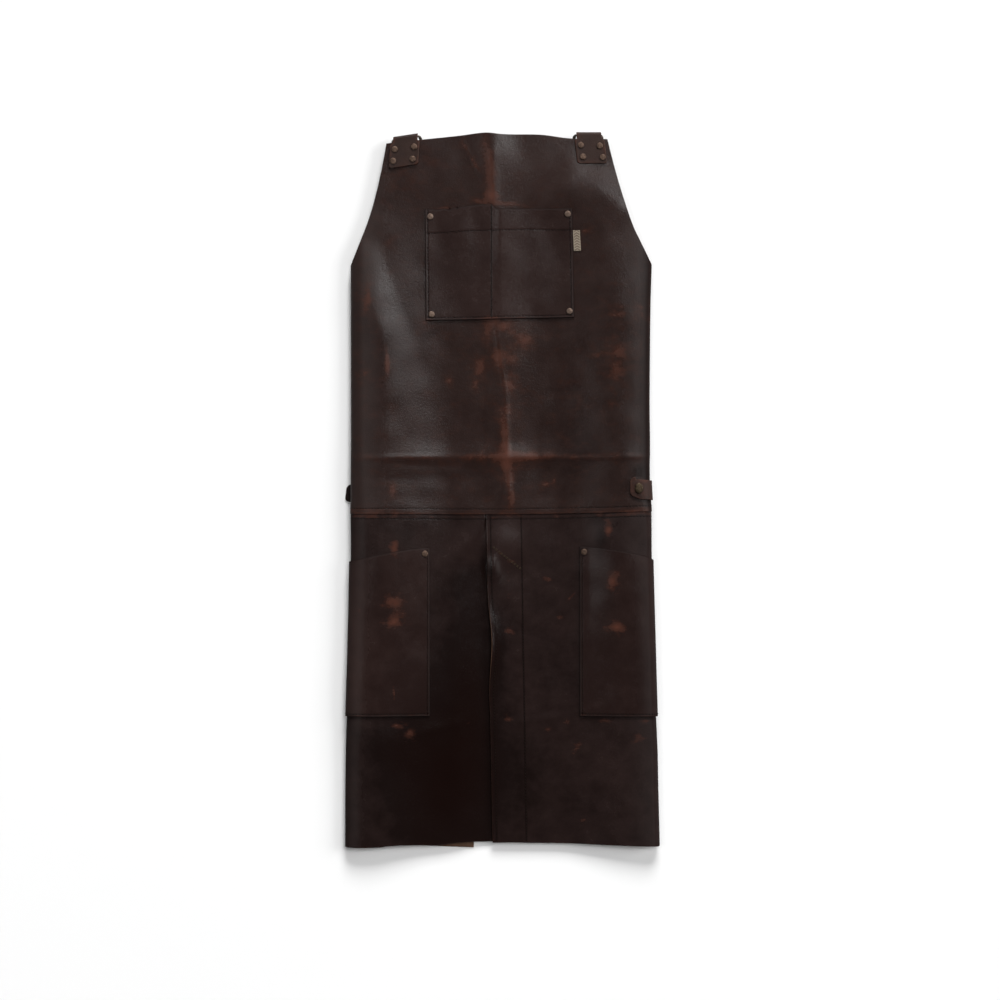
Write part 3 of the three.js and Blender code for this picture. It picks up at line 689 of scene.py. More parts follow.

# %% [markdown]
# ## Wear, and painted light and shade
#
# The wear of this apron is known from how it lies: rust where the hide was folded in
# storage, smudges on the pockets, darker parts low on the left leg. The table of tones
# also paints light and shade into the colour: shade under the cross crease, in hollows,
# over a pocket's mouth and beside the slit's lapping edge, and sheen on the shoulders,
# ridges and folds. The wear could be scattered by noise, but then the creases and their
# colour would part. So each mark is a row of a table, in the same millimetres as the creases above.

# %% Where the leather is rubbed
# Scuffs. Columns: x, y, reach across, reach along, strength
SCUFFS = [
    (-16, 401, 9, 6, 0.60),
    (-20, 218, 7, 14, 0.40),
    (3, 223, 14, 9, 0.50),
    (30, 206, 10, 8, 0.72),
    (8, 106, 9, 14, 0.42),
    (131, 184, 5, 5, 0.30),
    (107, 120, 8, 5, 0.28),
    (150, 117, 6, 5, 0.28),
    (-6, 181, 6, 8, 0.75),
    (-29, 168, 6, 8, 0.70),
    (-10, 231, 9, 5, 0.45),
    (-36, 147, 6, 9, 0.30),
    (10, 181, 8, 8, 0.60),
    (10, 144, 9, 9, 0.65),
    (-72, 149, 5, 5, 0.45),
    (157, 240, 12, 8, 0.38),
    (160, 191, 12, 7, 0.50),
    (157, 164, 12, 12, 0.50),
    (153, 208, 5, 4, 0.40),
    (190, 239, 9, 14, 0.28),
    (-91, 450, 9, 5, 0.32),
    (-140, 427, 20, 16, 0.20),
    (-183, 264, 3, 12, 0.40),
    (-187, 250, 8, 14, 0.36),
    (-189, 158, 8, 12, 0.28),
    (-106, 229, 3.5, 7, 0.60),
    (-153, 340, 6, 6, 0.32),
    (112, 354, 6, 6, 0.32),
    (6, 43, 11, 14, 0.60),
    (36, 46, 16, 5, 0.50),
    (-150, -1, 4.5, 7, 0.80),
    (60, 8, 4.5, 2.6, 0.70),
    (71, 12, 2.8, 4.5, 0.60),
    (-148, -78, 5, 10, 0.85),
    (-150, -153, 12, 9, 0.85),
    (-147, -181, 10, 7, 0.95),
    (-195, -166, 4, 4, 0.40),
    (144.5, -55, 5, 9, 0.90),
    (150, -125, 7, 10, 0.90),
    (157, -188, 10, 7, 0.90),
    (10, -194, 11, 6, 0.42),
    (9, -128, 4, 20, 0.28),
    (79, -176, 5, 4, 0.35),
    (5, -316, 10, 5, 0.50),
    (62, -328, 9, 3.5, 0.55),
    (88, -316, 4, 4, 0.42),
    (184, -338, 9, 8, 0.42),
    (102, -353, 8, 9, 0.45),
    (-127, -334, 7.5, 8.5, 0.65),
    (-146, -323, 8, 4.5, 0.48),
    (-46, -321, 5, 3, 0.35),
    (110, -453, 8, 3, 0.50),
]

# Rubbed lines: two ends, reach, strength
STREAKS = [
    (-57, 479, -31, 435, 2.2, 0.45),
    (-26, 486, -19, 450, 8.0, 0.42),
    (-17, 456, -14, 394, 7.0, 0.80),
    (-44, 396, 34, 389, 3.2, 0.50),
    (-158, 190, -157, 156, 3.2, 0.85),
    (-191, 43, -50, 44.5, 4.2, 0.27),
    (-50, 44.5, 58, 46, 5.5, 0.48),
    (58, 46, 199, 44.5, 4.2, 0.27),
    (2, 95, 6, 22, 5.5, 0.75),
    (10, 24, 13, -24, 5.5, 0.58),
    (-149, -266, -148, -291, 1.1, 0.70),
    (-95, 384, -60, 387, 2.0, 0.50),
    (54, -121, 73, -125, 4.0, 0.40),
    (-14, -79, 25, -109, 2.6, 0.42),
    (105, -135, 87, -154, 3.0, 0.40),
    (131, -316, 151, -316, 4.0, 0.60),
    (187, -316, 199, -316, 3.5, 0.55),
]

# Lighter and darker parts, some of them painted light and shade: x, y, reach across, reach along,
# change
TONE_AND_SHADING_SPOTS = [
    (-75, -400, 85, 130, -1.60),
    (-45, -250, 32, 90, -0.85),
    (-150, -355, 45, 30, -0.40),
    # Painted shade under the cross crease
    (-70, 22, 75, 9, -0.40),
    (-5, -228, 9, 40, -0.70),
    (120, 60, 70, 80, -0.30),
    # Painted sheen on the right shoulder
    (118, 440, 45, 38, 0.70),
    (-134, -62, 9, 16, -0.55),
    # Painted shade on the leg over the right hip pocket's mouth
    (134, -62, 7, 20, -0.60),
    (5, -68, 13, 26, 0.85),
    # Painted shade in the hollow above the right side tab
    (188, 23, 10, 7.5, -2.20),
    # Painted sheen along the left fold
    (-200, -210, 11, 150, 0.80),
    (-52, -128, 30, 22, -0.60),
    (-95, -72, 80, 30, 0.50),
    (165, 355, 25, 30, 0.40),
    # Painted light on the shaded flank of the right shoulder's fold
    (50, 440, 45, 32, 0.60),
    (0, 440, 150, 50, 0.30),
    # Painted sheen on the ridge of the middle crease
    (-12, 450, 24, 45, 0.45),
    # Painted sheen on the chest pocket's right compartment, beside the middle crease
    (10, 300, 24, 70, 0.50),
    (75, 130, 60, 60, -0.25),
    # Painted shadow on the left leg beside the knuckle of the lapping edge
    (-26, -110, 5, 18, -1.20),
    # Painted shade in two nicks of the chest pocket's mouth
    (-73, 385, 2.5, 2.5, -2.20),
    (-62, 386, 1.3, 2.2, -2.20),
]

# %% Marks from the tables
# Strength of a scuff and how fast it falls off, strength of a streak, and the most rub
SMUDGE, SMUDGE_FALL, STREAK, MOST_RUB = 1.7, 1.12, 1.12, 1.4


def wear_and_shading_marks(points):
    """Rub and tone for a grid of points, as sums over the rows of the three tables; the
    tone holds painted light and shade as well as the hides' own tone.

    A scuff falls off as e to the minus its distance, so it glows in the middle and has no
    edge. Streaks, and the parts of the hide and of the painted light and shade, are bells.
    """
    x, y = points[..., 0], points[..., 1]
    rub, tone_and_shading = np.zeros(x.shape), np.zeros(x.shape)
    for spot_x, spot_y, across, along, strength in SCUFFS:
        away = np.hypot((x - spot_x) / across, (y - spot_y) / along)
        rub += SMUDGE * strength * np.exp(-SMUDGE_FALL * away)
    for x0, y0, x1, y1, reach, strength in STREAKS:
        rub += STREAK * strength * near_line(x, y, x0, y0, x1, y1, reach)
    for part_x, part_y, across, along, change in TONE_AND_SHADING_SPOTS:
        tone_and_shading += change * bell(x - part_x, across) * bell(y - part_y, along)
    return {"rub": np.clip(rub, 0, MOST_RUB), "tone_and_shading": tone_and_shading}


print("scuffs:", len(SCUFFS), "streaks:", len(STREAKS), "tones:", len(TONE_AND_SHADING_SPOTS))

# %% [markdown]
# ## The bib
#
# The bib is one hide from the waist seam to the top edge. Its armholes are cut in a
# hollow curve that runs on round the fold and along the flap. Over the sheet's u the
# upper edge is a single curve, so rows from the seam to that curve give the whole
# outline and no cutting is needed. Near the seam the rows lie closer together, because
# there the leather rises over its turned allowance and laps over the legs.

# %% Bib outline
BIB_CORNER_LEFT = (-159.0, 473.5)
BIB_CORNER_RIGHT = (143.8, 479.5)
ARMHOLE_LEFT = ((-172.0, 396.0), 353.0)  # the bend of the curve, and where it meets the fold
ARMHOLE_RIGHT = ((164.5, 393.0), 353.5)
ARMHOLE_DROP = (47.0, 45.0)  # left and right, on down to the fold's outermost line
ARMHOLE_UNDER_Y = (290.0, 272.0)  # left and right, where the fold has turned under
FLAP_TOP_Y = 190.0
TOP_EDGE_X = (-159, -113, -60, -24, 0, 52, 92, 143.8)
TOP_EDGE_Y = (473.5, 478.5, 484, 488, 486, 485.5, 480.5, 479.5)


def armhole_y(x, corner, armhole):
    """Height on a curve that bends once between the corner and the fold, at a given x."""
    (bend_x, bend_y), end_y = armhole
    side = np.sign(bend_x)
    end_x = side * fold_start(side, end_y)
    a, b = corner[0] - 2 * bend_x + end_x, 2 * (bend_x - corner[0])
    t = (-b + side * np.sqrt(np.maximum(b * b - 4 * a * (corner[0] - x), 0))) / (2 * a)
    return (1 - t) ** 2 * corner[1] + 2 * t * (1 - t) * bend_y + t * t * end_y


def bib_top(u):
    """The bib's upper edge: flap, fold, armhole, top edge, and the same on the other side."""
    a = np.abs(u)
    end = np.where(u < 0, ARMHOLE_LEFT[1], ARMHOLE_RIGHT[1])
    below = np.where(u < 0, *ARMHOLE_UNDER_Y)
    x = np.clip(u, -1, 1) * fold_start(u, end)
    top = through(TOP_EDGE_X, TOP_EDGE_Y, x)
    left = armhole_y(np.minimum(x, BIB_CORNER_LEFT[0]), BIB_CORNER_LEFT, ARMHOLE_LEFT)
    right = armhole_y(np.maximum(x, BIB_CORNER_RIGHT[0]), BIB_CORNER_RIGHT, ARMHOLE_RIGHT)
    top = np.where(x < BIB_CORNER_LEFT[0], left, np.where(x > BIB_CORNER_RIGHT[0], right, top))
    outermost = end - np.where(u < 0, *ARMHOLE_DROP)
    on_fold = mix(end, outermost, np.sin(np.clip(a - 1, 0, 0.5) * np.pi))
    on_fold = np.where(a > 1.5, mix(outermost, below, np.clip(2 * a - 3, 0, 1)), on_fold)
    top = np.where(a > 1, on_fold, top)
    under = mix(below, FLAP_TOP_Y, 1 - (3 - np.clip(a, 2, 3)) ** 2)
    return np.where(a > 2, under, top)


# %% Waist seam
SEAM_X = (-240, -200, 0, 140, 200, 240)
SEAM_Y = (-32.6, -32.6, -33.4, -31.0, -29.2, -29.2)
TOPSTITCH = 7.0  # mm from the seam to its rows of stitches
LAP, LAP_HEIGHT, LAP_REACH = 0.6, 0.7, 26.0  # mm, how the bib lies over the legs
PULL = 0.1  # mm, how deep a row of stitches sinks
# Painted shade: the darkening at the stitches and under the lap stands for the shade in their grooves
# and under the lapping edge.
SEAM_PAINTED_SHADE = 0.9  # how much darker the leather is at the stitches and under the lap
END_RUB, END_FROM, END_RUN = 0.18, 90, 100  # more rub towards the sides: how much, from where


def seam_y(x):
    """Height of the waist seam: a smooth curve through its rows."""
    return through(SEAM_X, SEAM_Y, x)


def seam_relief(away, lap=0.0):
    """The stitches pull the leather in, and a lapping edge rises gently over what is below."""
    return lap * (1 - ease(away / LAP_REACH)) - PULL * bell(np.abs(away) - TOPSTITCH, 0.8)


def seam_marks(points, rubbed):
    """Wear marks, reddish between the rows of stitches, with painted shade at the stitches and under
    the lap.
    """
    marks = wear_and_shading_marks(points)
    away = points[..., 1] - seam_y(points[..., 0])
    # Painted shade in the grooves of the stitches and under the bib's lapping edge.
    marks["tone_and_shading"] -= SEAM_PAINTED_SHADE * bell(np.abs(away) - TOPSTITCH, 0.6)
    marks["tone_and_shading"] -= SEAM_PAINTED_SHADE * bell(away + 1.2, 0.9)
    between = 1 - ease((np.abs(away) - TOPSTITCH + 1.5) / 2)
    towards_ends = ease((np.abs(points[..., 0]) - END_FROM) / END_RUN)
    band = between * (rubbed + END_RUB * towards_ends) + 0.2 * bell(away - 0.5, 0.9)
    marks["rub"] = np.clip(marks["rub"] + band, 0, MOST_RUB)
    return marks


def steps(*runs):
    """Values from runs of (start, end, count), joined without repeats."""
    return np.unique(np.concatenate([np.linspace(a, b, n + 1) for a, b, n in runs]).round(9))


# %% Bib mesh
WAIST_Y, LEG_MIDDLE_Y = -30.0, -250.0  # heights at which the width of a seam or hem is taken


def bib_surface(u, row):
    """The sheet between the seam and the bib's upper edge, lifted by the seam's relief."""
    x = np.clip(u, -1, 1) * fold_start(u, WAIST_Y)
    y = mix(seam_y(x) - LAP, bib_top(u), row)
    return on_sheet(u, y, seam_relief(y - seam_y(x), LAP_HEIGHT))


# Round the two rolls. Rows: u of the middle, reach, strength
BIB_MATT = ((1.34, 0.16, 1.2), (1.06, 0.12, 0.3), (-1.14, 0.16, 1.4))
# Painted shade on the outer face of the right roll: u of the middle, reach, strength
PAINTED_ROLL_SHADE = (1.29, 0.14, 1.5)
RUBBED_ROLL = (1.5, 0.09, 0.3)


def rolls(u, rows):
    """Bells in u, each times its strength, added up."""
    return sum(strength * bell(u - middle, reach) for middle, reach, strength in rows)


corner_left, corner_right = (float(across_at(*c)) for c in (BIB_CORNER_LEFT, BIB_CORNER_RIGHT))
bib_u = steps(
    (-3, -2, 9), (-2, -1, 20), (-1, corner_left, 18), (corner_left, corner_right, 118),
    (corner_right, 1, 20), (1, 2, 24), (2, 3, 9),
)
bib_rows = steps((0, 0.006, 6), (0.006, 0.03, 12), (0.03, 0.99, 176), (0.99, 1, 6))
U, V = np.meshgrid(bib_u, bib_rows)
middle, normal = bib_surface(U, V)
bib_wear_and_shade = seam_marks(middle, rubbed=0.13)
# Painted shade on the right roll's outer face, through the tone mark.
bib_wear_and_shade["tone_and_shading"] -= rolls(U, [PAINTED_ROLL_SHADE])
bib_wear_and_shade["rub"] += rolls(U, [RUBBED_ROLL])
bib_wear_and_shade["matt"] = rolls(U, BIB_MATT)
bib = leather_wall("bib_panel", middle, normal, bib_wear_and_shade)
dress(bib, BIB_FINISH, "bib_leather", "bib")

# %% [markdown]
# ## The legs and the slit
#
# Two panels hang below the seam. The right one laps over the left one, with a facing
# strip under its edge, and the left one dips to pass beneath. The lapping edge has been
# pulled about: it curls up for a hand's width and shows its pale cut edge there. Both
# panels are the same sheet with a lift: down for the underlap, up for the curl.

# %% Leg outlines
HEM_LEFT_X = (-230, -167, -150, -110, -85, -62, -15, 30)
HEM_LEFT_Y = (-490, -489.3, -487.3, -487, -487.4, -484.4, -483.2, -483.2)
HEM_RIGHT_X = (-25, 10, 32, 90, 150, 230)
HEM_RIGHT_Y = (-484.3, -483.8, -484.2, -485, -486.8, -488.5)
FLAP_HEM_Y = (-485.9, -483.0)  # left and right, beside the fold
FLAP_HEM_FALL = (5.9, 0.0)  # mm, how much lower it is at the flap's free edge
SLIT_EDGE_Y = (-490, -425, -316, -275, -206, -151, -97, -33)
SLIT_EDGE_X = (-13, -14.4, -16.4, -17.6, -13.8, -19.4, -20.8, -22)
FACING_WIDTH, FACING_INSET = 46.0, 0.6
UNDERLAP_X = 25.0
UNDERLAP_START_X = (-70.0, -24.0)  # along the slit and by the seam
UNDERLAP_LAYERS = (2.0, 1.5)  # how many layers it dips there
UNDERLAP_FULL_X = -22.0
BY_SEAM_Y, BY_SEAM_RUN = -110.0, 75.0  # where the one turns into the other
SLIT_MIDDLE_X = -17.0
CURL_Y, CURL_ACROSS, CURL_ALONG, CURL_HEIGHT = -212.0, 9.0, 44.0, 5.0


def slit_edge(y):
    """The x of the slit's lapping edge: a smooth curve through its rows."""
    return through(SLIT_EDGE_Y, SLIT_EDGE_X, y)


def slit_curl(x, y):
    """The lapping edge's lift: steepest at the edge itself, so that its cut face turns up."""
    inside = np.maximum(x - slit_edge(y), 0)
    return CURL_HEIGHT * np.exp(-inside / CURL_ACROSS) * bell(y - CURL_Y, CURL_ALONG)


def underlap_dip(x, y):
    """How far the left panel dips under the right one: it starts closer to the slit by the seam."""
    by_seam = ease((y - BY_SEAM_Y) / BY_SEAM_RUN)
    start = mix(*UNDERLAP_START_X, by_seam)
    return mix(*UNDERLAP_LAYERS, by_seam) * LAYER * ease((x - start) / (UNDERLAP_FULL_X - start))


def leg_y(u, x, row, hem_x, hem_y):
    """Rows from the hem, which slants along the left flap, up to the waist seam."""
    fall = np.where(u < 0, *FLAP_HEM_FALL) * np.clip(np.abs(u) - 2, 0, 1)
    flap = np.where(u < 0, *FLAP_HEM_Y) - fall
    hem = mix(through(hem_x, hem_y, x), flap, ease(np.abs(u) - 1.2))
    return mix(hem, seam_y(x) + LAP, row)


FACING_ROW_X = (33.0, 25.5)  # the facing's stitches, at the hem and at the seam
SLIT_ROW_Y = (-481.0, -36.0)  # both ends of the rows beside the slit
EDGE_ROW = 5.5  # mm from the slit's edge to its stitches


def slit_stitch_painted_shade(x, y):
    """Painted shade along the two long rows of stitches beside the slit: how much darker the leather is
    there.
    """
    low, high = SLIT_ROW_Y
    facing_x = mix(*FACING_ROW_X, np.clip((y - low) / (high - low), 0, 1))
    return bell(x - facing_x, 0.9) + 0.8 * bell(x - slit_edge(y) - EDGE_ROW, 0.8)


# %% Leg meshes
def left_leg_surface(u, row):
    """The sheet from the left flap's edge to the underlap, with its dip and the seam's relief."""
    x = np.clip(u, -1, 1) * fold_start(u, LEG_MIDDLE_Y)
    y = leg_y(u, x, row, HEM_LEFT_X, HEM_LEFT_Y)
    x = np.clip(u, -1, 1) * fold_start(u, y)
    lift = seam_relief(y - seam_y(x)) - np.where(np.abs(u) < 1, underlap_dip(x, y), 0)
    return on_sheet(u, y, lift)


def right_leg_surface(column, row):
    """From the slit's edge to the fold over columns 0 to 1, then the fold and the flap."""
    share = np.clip(column, 0, 1)
    x = mix(SLIT_MIDDLE_X, fold_start(1.0, LEG_MIDDLE_Y), share)
    y = leg_y(column, x, row, HEM_RIGHT_X, HEM_RIGHT_Y)
    x = mix(slit_edge(y), fold_start(1.0, y), share)
    u = np.where(column <= 1, across_at(x, y), column)
    lift = seam_relief(y - seam_y(x)) + np.where(column <= 1, slit_curl(x, y), 0)
    return on_sheet(u, y, lift)


leg_rows = steps((0, 0.012, 6), (0.012, 0.97, 156), (0.97, 0.994, 12), (0.994, 1, 5))
left_u = steps(
    (-3, -2, 9), (-2, -1, 20), (-1, -0.14, 66), (-0.14, -0.09, 10), (-0.09, UNDERLAP_X / 190, 14)
)
right_columns = steps(
    (0, 0.09, 14), (0.09, 0.2, 8), (0.2, 0.25, 14), (0.25, 1, 66), (1, 2, 14), (2, 3, 9)
)

# Round the folds of the legs and hip pockets. Rows: the fold's u, reach, strength
LEG_MATT = {"left": (1.28, 0.17, 1.2), "right": (1.2, 0.22, 1.6)}
legs = {}
for side, surface, columns, outward in (
    ("left", left_leg_surface, left_u, -1),
    ("right", right_leg_surface, right_columns, 1),
):
    U, V = np.meshgrid(columns, leg_rows)
    middle, normal = surface(U, V)
    leg_wear_and_shade = seam_marks(middle, rubbed=0.28)
    leg_wear_and_shade["matt"] = rolls(outward * U, [LEG_MATT[side]])
    frayed = np.zeros(U.shape)
    if side == "right":
        # Painted shade along the slit's rows of stitches.
        leg_wear_and_shade["tone_and_shading"] -= slit_stitch_painted_shade(middle[..., 0], middle[..., 1])
        frayed = np.where(U <= 0, bell(middle[..., 1] - CURL_Y, CURL_ALONG), 0.0)
    raw = np.where(V > 0.999, 0.0, 0.5 + 0.5 * frayed)
    bow = 0.35 + 0.8 * frayed
    legs[side] = leather_wall(f"leg_panel_{side}", middle, normal, leg_wear_and_shade, bow=bow, raw=raw)
    dress(legs[side], LEG_FINISH, "leg_leather", f"leg_{side}")

# %% Slit facing
def facing_surface(column, row):
    """A strip one layer under the right leg's edge, with the same curl."""
    y = mix(HEM_RIGHT_Y[0], SEAM_Y[2] - 1.0, row)
    x = slit_edge(y) + FACING_INSET + column * FACING_WIDTH
    return on_sheet(across_at(x, y), y, -LAYER + slit_curl(x, y))


U, V = np.meshgrid(np.linspace(0, 1, 15), np.linspace(0, 1, 110))
middle, normal = facing_surface(U, V)
facing = leather_wall("slit_facing_strip", middle, normal, {})
dress(facing, LEG_FINISH, "leg_leather", "slit_facing")

# %% [markdown]
# ## The pockets
#
# The chest pocket is a patch with a turned hem at its mouth and one row of stitches
# down the middle that splits it in two. The hip pockets start on the legs and wrap
# round the folds. A sewn pocket is flat at its seams and a little slack at its mouth,
# so each is the sheet one layer up, with a puff between the seams that grows towards
# the mouth, and shallow grooves where the stitches pull the leather down.

# %% Chest pocket layout
CHEST_LEFT_X = (-105.0, -106.0)  # at the bottom and at the mouth
CHEST_RIGHT_X = (98.5, 95.5)
CHEST_BOTTOM_Y = (231.5, 236.0)  # at the left and at the right
CHEST_MOUTH_Y = (384.0, 384.6)
CHEST_PEAK = 6.5  # mm, how far the left compartment's mouth rises beside the divider
CHEST_PEAK_REACH = (44, 4)  # mm, to the left and to the right of it
CHEST_NICKS = ((-73, 4.0, 2.2), (-62, 1.6, 1.6), (-90, 7.0, 1.4))  # x, reach, depth
DIVIDER_X = -15.0
CHEST_PUFF = (1.5, 2.0)  # mm, left and right compartment
CHEST_CREST = (0.5, 0.14)  # where each compartment is highest, as a share of its width
CHEST_WIDE, CHEST_TALL = 202.0, 152.0
SEWN_MARGIN = 13.0
STITCH_INSET = 3.4
POCKET_BOW = 0.2
CHEST_HEM_X = (-110, -15, 100)
CHEST_HEM_Y = (350.4, 355.2, 355.4)
GROOVE = 0.65  # mm, reach of the groove along a row of stitches
# Painted shade: the leather is darkened along each row of stitches, for the shade in its groove.
STITCH_PAINTED_SHADE = 0.85  # how much darker the leather is in that groove


def hem_rub(above):
    """Rub along a pocket's bottom edge, between the cut and its row of stitches."""
    return 0.34 * bell(above - 1.3, 1.3)


def chest_puff(x, row, left, right):
    """Each compartment bows up between its seams to its own crest, most at the mouth."""
    on_left = x < DIVIDER_X
    low = np.where(on_left, left + SEWN_MARGIN, DIVIDER_X)
    high = np.where(on_left, DIVIDER_X, right - SEWN_MARGIN)
    share = np.clip((x - low) / (high - low), 0, 1)
    crest = np.where(on_left, *CHEST_CREST)
    bow = np.where(share < crest, ease(share / crest), ease((1 - share) / (1 - crest)))
    return np.where(on_left, *CHEST_PUFF) * bow * ease(row * 1.25 - 0.2)


def chest_edges(column, row):
    """The patch in plan: x, its left and right edges, its mouth and its bottom."""
    left, right = mix(*CHEST_LEFT_X, row), mix(*CHEST_RIGHT_X, row)
    x = mix(left, right, column)
    peak = CHEST_PEAK * bell(x - DIVIDER_X, np.where(x < DIVIDER_X, *CHEST_PEAK_REACH))
    mouth = mix(*CHEST_MOUTH_Y, column) + peak
    for nick_x, reach, depth in CHEST_NICKS:
        mouth = mouth - depth * bell(x - nick_x, reach)
    return x, left, right, mouth, mix(*CHEST_BOTTOM_Y, column)


def chest_layout(column, row):
    """Plan, lift and rows of stitches of the patch between its four edges, one layer up."""
    x, left, right, mouth, bottom = chest_edges(column, row)
    y = mix(bottom, mouth, row)
    above_hem = y - through(CHEST_HEM_X, CHEST_HEM_Y, x)
    sewn = 1.5 * bell(x - left - STITCH_INSET, 0.9) + 1.5 * bell(right - STITCH_INSET - x, 0.9)
    sewn = sewn + bell(y - bottom - STITCH_INSET, GROOVE) + bell(above_hem, GROOVE)
    sewn = sewn + 1.9 * bell(x - DIVIDER_X, 1.0)
    lift = LAYER + chest_puff(x, row, left, right) + 0.12 * ease(above_hem / 3) - PULL * sewn
    return x, y, lift, sewn


def chest_surface(column, row):
    """The patch on the sheet, at the lift of its layout."""
    x, y, lift, _ = chest_layout(column, row)
    return on_sheet(across_at(x, y), y, lift)


# %% Chest pocket mesh
chest_columns = steps(
    (0, 0.04, 10), (0.04, 0.43, 50), (0.43, 0.46, 8), (0.46, 0.96, 62), (0.96, 1, 10)
)
chest_rows = steps(
    (0, 0.05, 10), (0.05, 0.74, 62), (0.74, 0.83, 22), (0.83, 0.985, 18), (0.985, 1, 6)
)
U, V = np.meshgrid(chest_columns, chest_rows)
middle, normal = chest_surface(U, V)
chest_wear_and_shade = wear_and_shading_marks(middle)
# Painted shade in the grooves of the rows of stitches.
chest_wear_and_shade["tone_and_shading"] -= STITCH_PAINTED_SHADE * chest_layout(U, V)[3]
chest_wear_and_shade["rub"] += hem_rub(V * CHEST_TALL)
chest = leather_wall("chest_pocket_patch", middle, normal, chest_wear_and_shade, bow=POCKET_BOW, raw=0.0)
dress(chest, POCKET_FINISH, "pocket_leather", "chest_pocket")

# %% Hip pocket layout
HIP_BULGE = 3.1  # mm
HIP_WIDE, HIP_TALL = 97.0, 220.0
HIP_END = 2.36  # how far round the section the patch reaches
HIP_BOTTOM_Y = -310.0
HIP_DROP = 20.0  # mm, how much lower the mouth is behind than in front
HIP_SIDES = {"left": (-1.0, -100.0, -80.0), "right": (1.0, 106.5, -78.0)}  # side, inner x, mouth y


def hip_layout(side, inner_x, mouth_y, column, row):
    """From the inner seam to the fold over columns 0 to 1, then round the fold on to the flap.

    The puff is a sine across, raised to a power so that it leaves the seams gently, and it is
    eased up from the bottom to the mouth.
    """
    mouth = mouth_y - HIP_DROP * ease(column / 1.7)
    y = mix(HIP_BOTTOM_Y, mouth, row)
    inner = np.abs(across_at(inner_x, y))
    a = np.where(column < 1, mix(inner, 1.0, column), column)
    sewn_strip = SEWN_MARGIN / HIP_WIDE
    share = np.clip((column - sewn_strip) / (1 - sewn_strip), 0, 1)
    puff = HIP_BULGE * np.sin(np.pi * share) ** 1.3 * ease(row * 1.2 - 0.2)
    sewn = bell(column * HIP_WIDE - STITCH_INSET, GROOVE)
    sewn = sewn + bell(row * (mouth - HIP_BOTTOM_Y) - STITCH_INSET, GROOVE)
    return side * a, y, LAYER + puff - PULL * sewn, sewn


def hip_surface(side, inner_x, mouth_y, column, row):
    """The patch on the sheet, at the lift of its layout."""
    u, y, lift, _ = hip_layout(side, inner_x, mouth_y, column, row)
    return on_sheet(u, y, lift)


# %% Hip pocket meshes
hip_columns = steps((0, 0.08, 10), (0.08, 1, 46), (1, 2, 16), (2, HIP_END, 8))
hip_rows = steps((0, 0.03, 9), (0.03, 0.985, 92), (0.985, 1, 7))
HIP_TONE = {"left": -0.25, "right": -0.6}
for side, (sign, inner_x, mouth_y) in HIP_SIDES.items():
    U, V = np.meshgrid(hip_columns[::-1] if sign < 0 else hip_columns, hip_rows)
    middle, normal = hip_surface(sign, inner_x, mouth_y, U, V)
    hip_wear_and_shade = wear_and_shading_marks(middle)
    sewn = hip_layout(sign, inner_x, mouth_y, U, V)[3]
    hip_wear_and_shade["tone_and_shading"] += HIP_TONE[side]
    # Painted shade in the grooves of the rows of stitches.
    hip_wear_and_shade["tone_and_shading"] -= STITCH_PAINTED_SHADE * sewn
    hip_wear_and_shade["rub"] += hem_rub(V * HIP_TALL)
    hip_wear_and_shade["matt"] = rolls(U, [LEG_MATT[side]])
    hip = leather_wall(f"hip_pocket_patch_{side}", middle, normal, hip_wear_and_shade, bow=POCKET_BOW, raw=0.0)
    dress(hip, POCKET_FINISH, "pocket_leather", f"hip_pocket_{side}")

# %% [markdown]
# ## Shoulder tabs and their rings
#
# Each shoulder tab is a strap folded over the bar of a metal ring and riveted through
# the bib. Its shape is a profile carried across its width: down the front, half round
# the bar and down the back, with the strap drawn in where it passes the ring. The ring
# is a round wire bent to a D. It hangs behind the bib and swings about its bar, so it
# rides on its own body.

# %% Shoulder tabs
TAB_HALF, NECK_HALF, NECK_END, FLARE_END, TAB_LENGTH = 20.1, 16.7, 4.5, 8.5, 39.2
LOOP_RADIUS, BIB_ABOVE_BAR, TAB_SEAT_Z = 3.1, 0.7, 12.8
TAB_CORNER, TAB_CUP = 3.5, 0.35
BAR_Z = TAB_SEAT_Z - BIB_ABOVE_BAR
SHOULDERS = {"left": (-133.0, 481.4, 8.5, -4.0), "right": (118.4, 485.4, 0.0, 6.5)}  # bar, tilt, lean


def tab_plan(shoulder, across, down):
    """Plan of a tab from its bar: across along the tilted bar, down along the leaning strap."""
    bar_x, bar_y, tilt, lean = shoulder
    tilt, lean = np.radians(tilt), np.radians(lean)
    x = bar_x + across * np.cos(tilt) + down * np.sin(lean)
    y = bar_y + across * np.sin(tilt) - down * np.cos(lean)
    return x, y


def tab_profile():
    """The strap's middle line: distance below the bar, height, and the turn of its outside."""
    front = np.concatenate([np.linspace(TAB_LENGTH, 35, 9), np.linspace(34, 0.6, 36)])
    turn = np.linspace(np.pi / 2, -np.pi / 2, 18)
    back = np.linspace(0.6, TAB_LENGTH, 30)
    down = np.concatenate([front, -LOOP_RADIUS * np.cos(turn), back])
    settle = mix(-LOOP_RADIUS, BIB_ABOVE_BAR - LAYER, ease(back / 9))
    z = np.concatenate([np.full(len(front), LOOP_RADIUS), LOOP_RADIUS * np.sin(turn), settle])
    turns = np.concatenate([np.full(len(front), np.pi / 2), turn, np.full(len(back), -np.pi / 2)])
    is_back = np.arange(len(down)) >= len(front) + len(turn)
    flare = mix(NECK_HALF, TAB_HALF, ease((down - NECK_END) / (FLARE_END - NECK_END)))
    half = np.where(is_back, NECK_HALF, flare)
    near_end = np.clip(TAB_CORNER - (TAB_LENGTH - down), 0, TAB_CORNER)
    half = half - (TAB_CORNER - np.sqrt(TAB_CORNER**2 - near_end**2))
    return down, z, turns, half


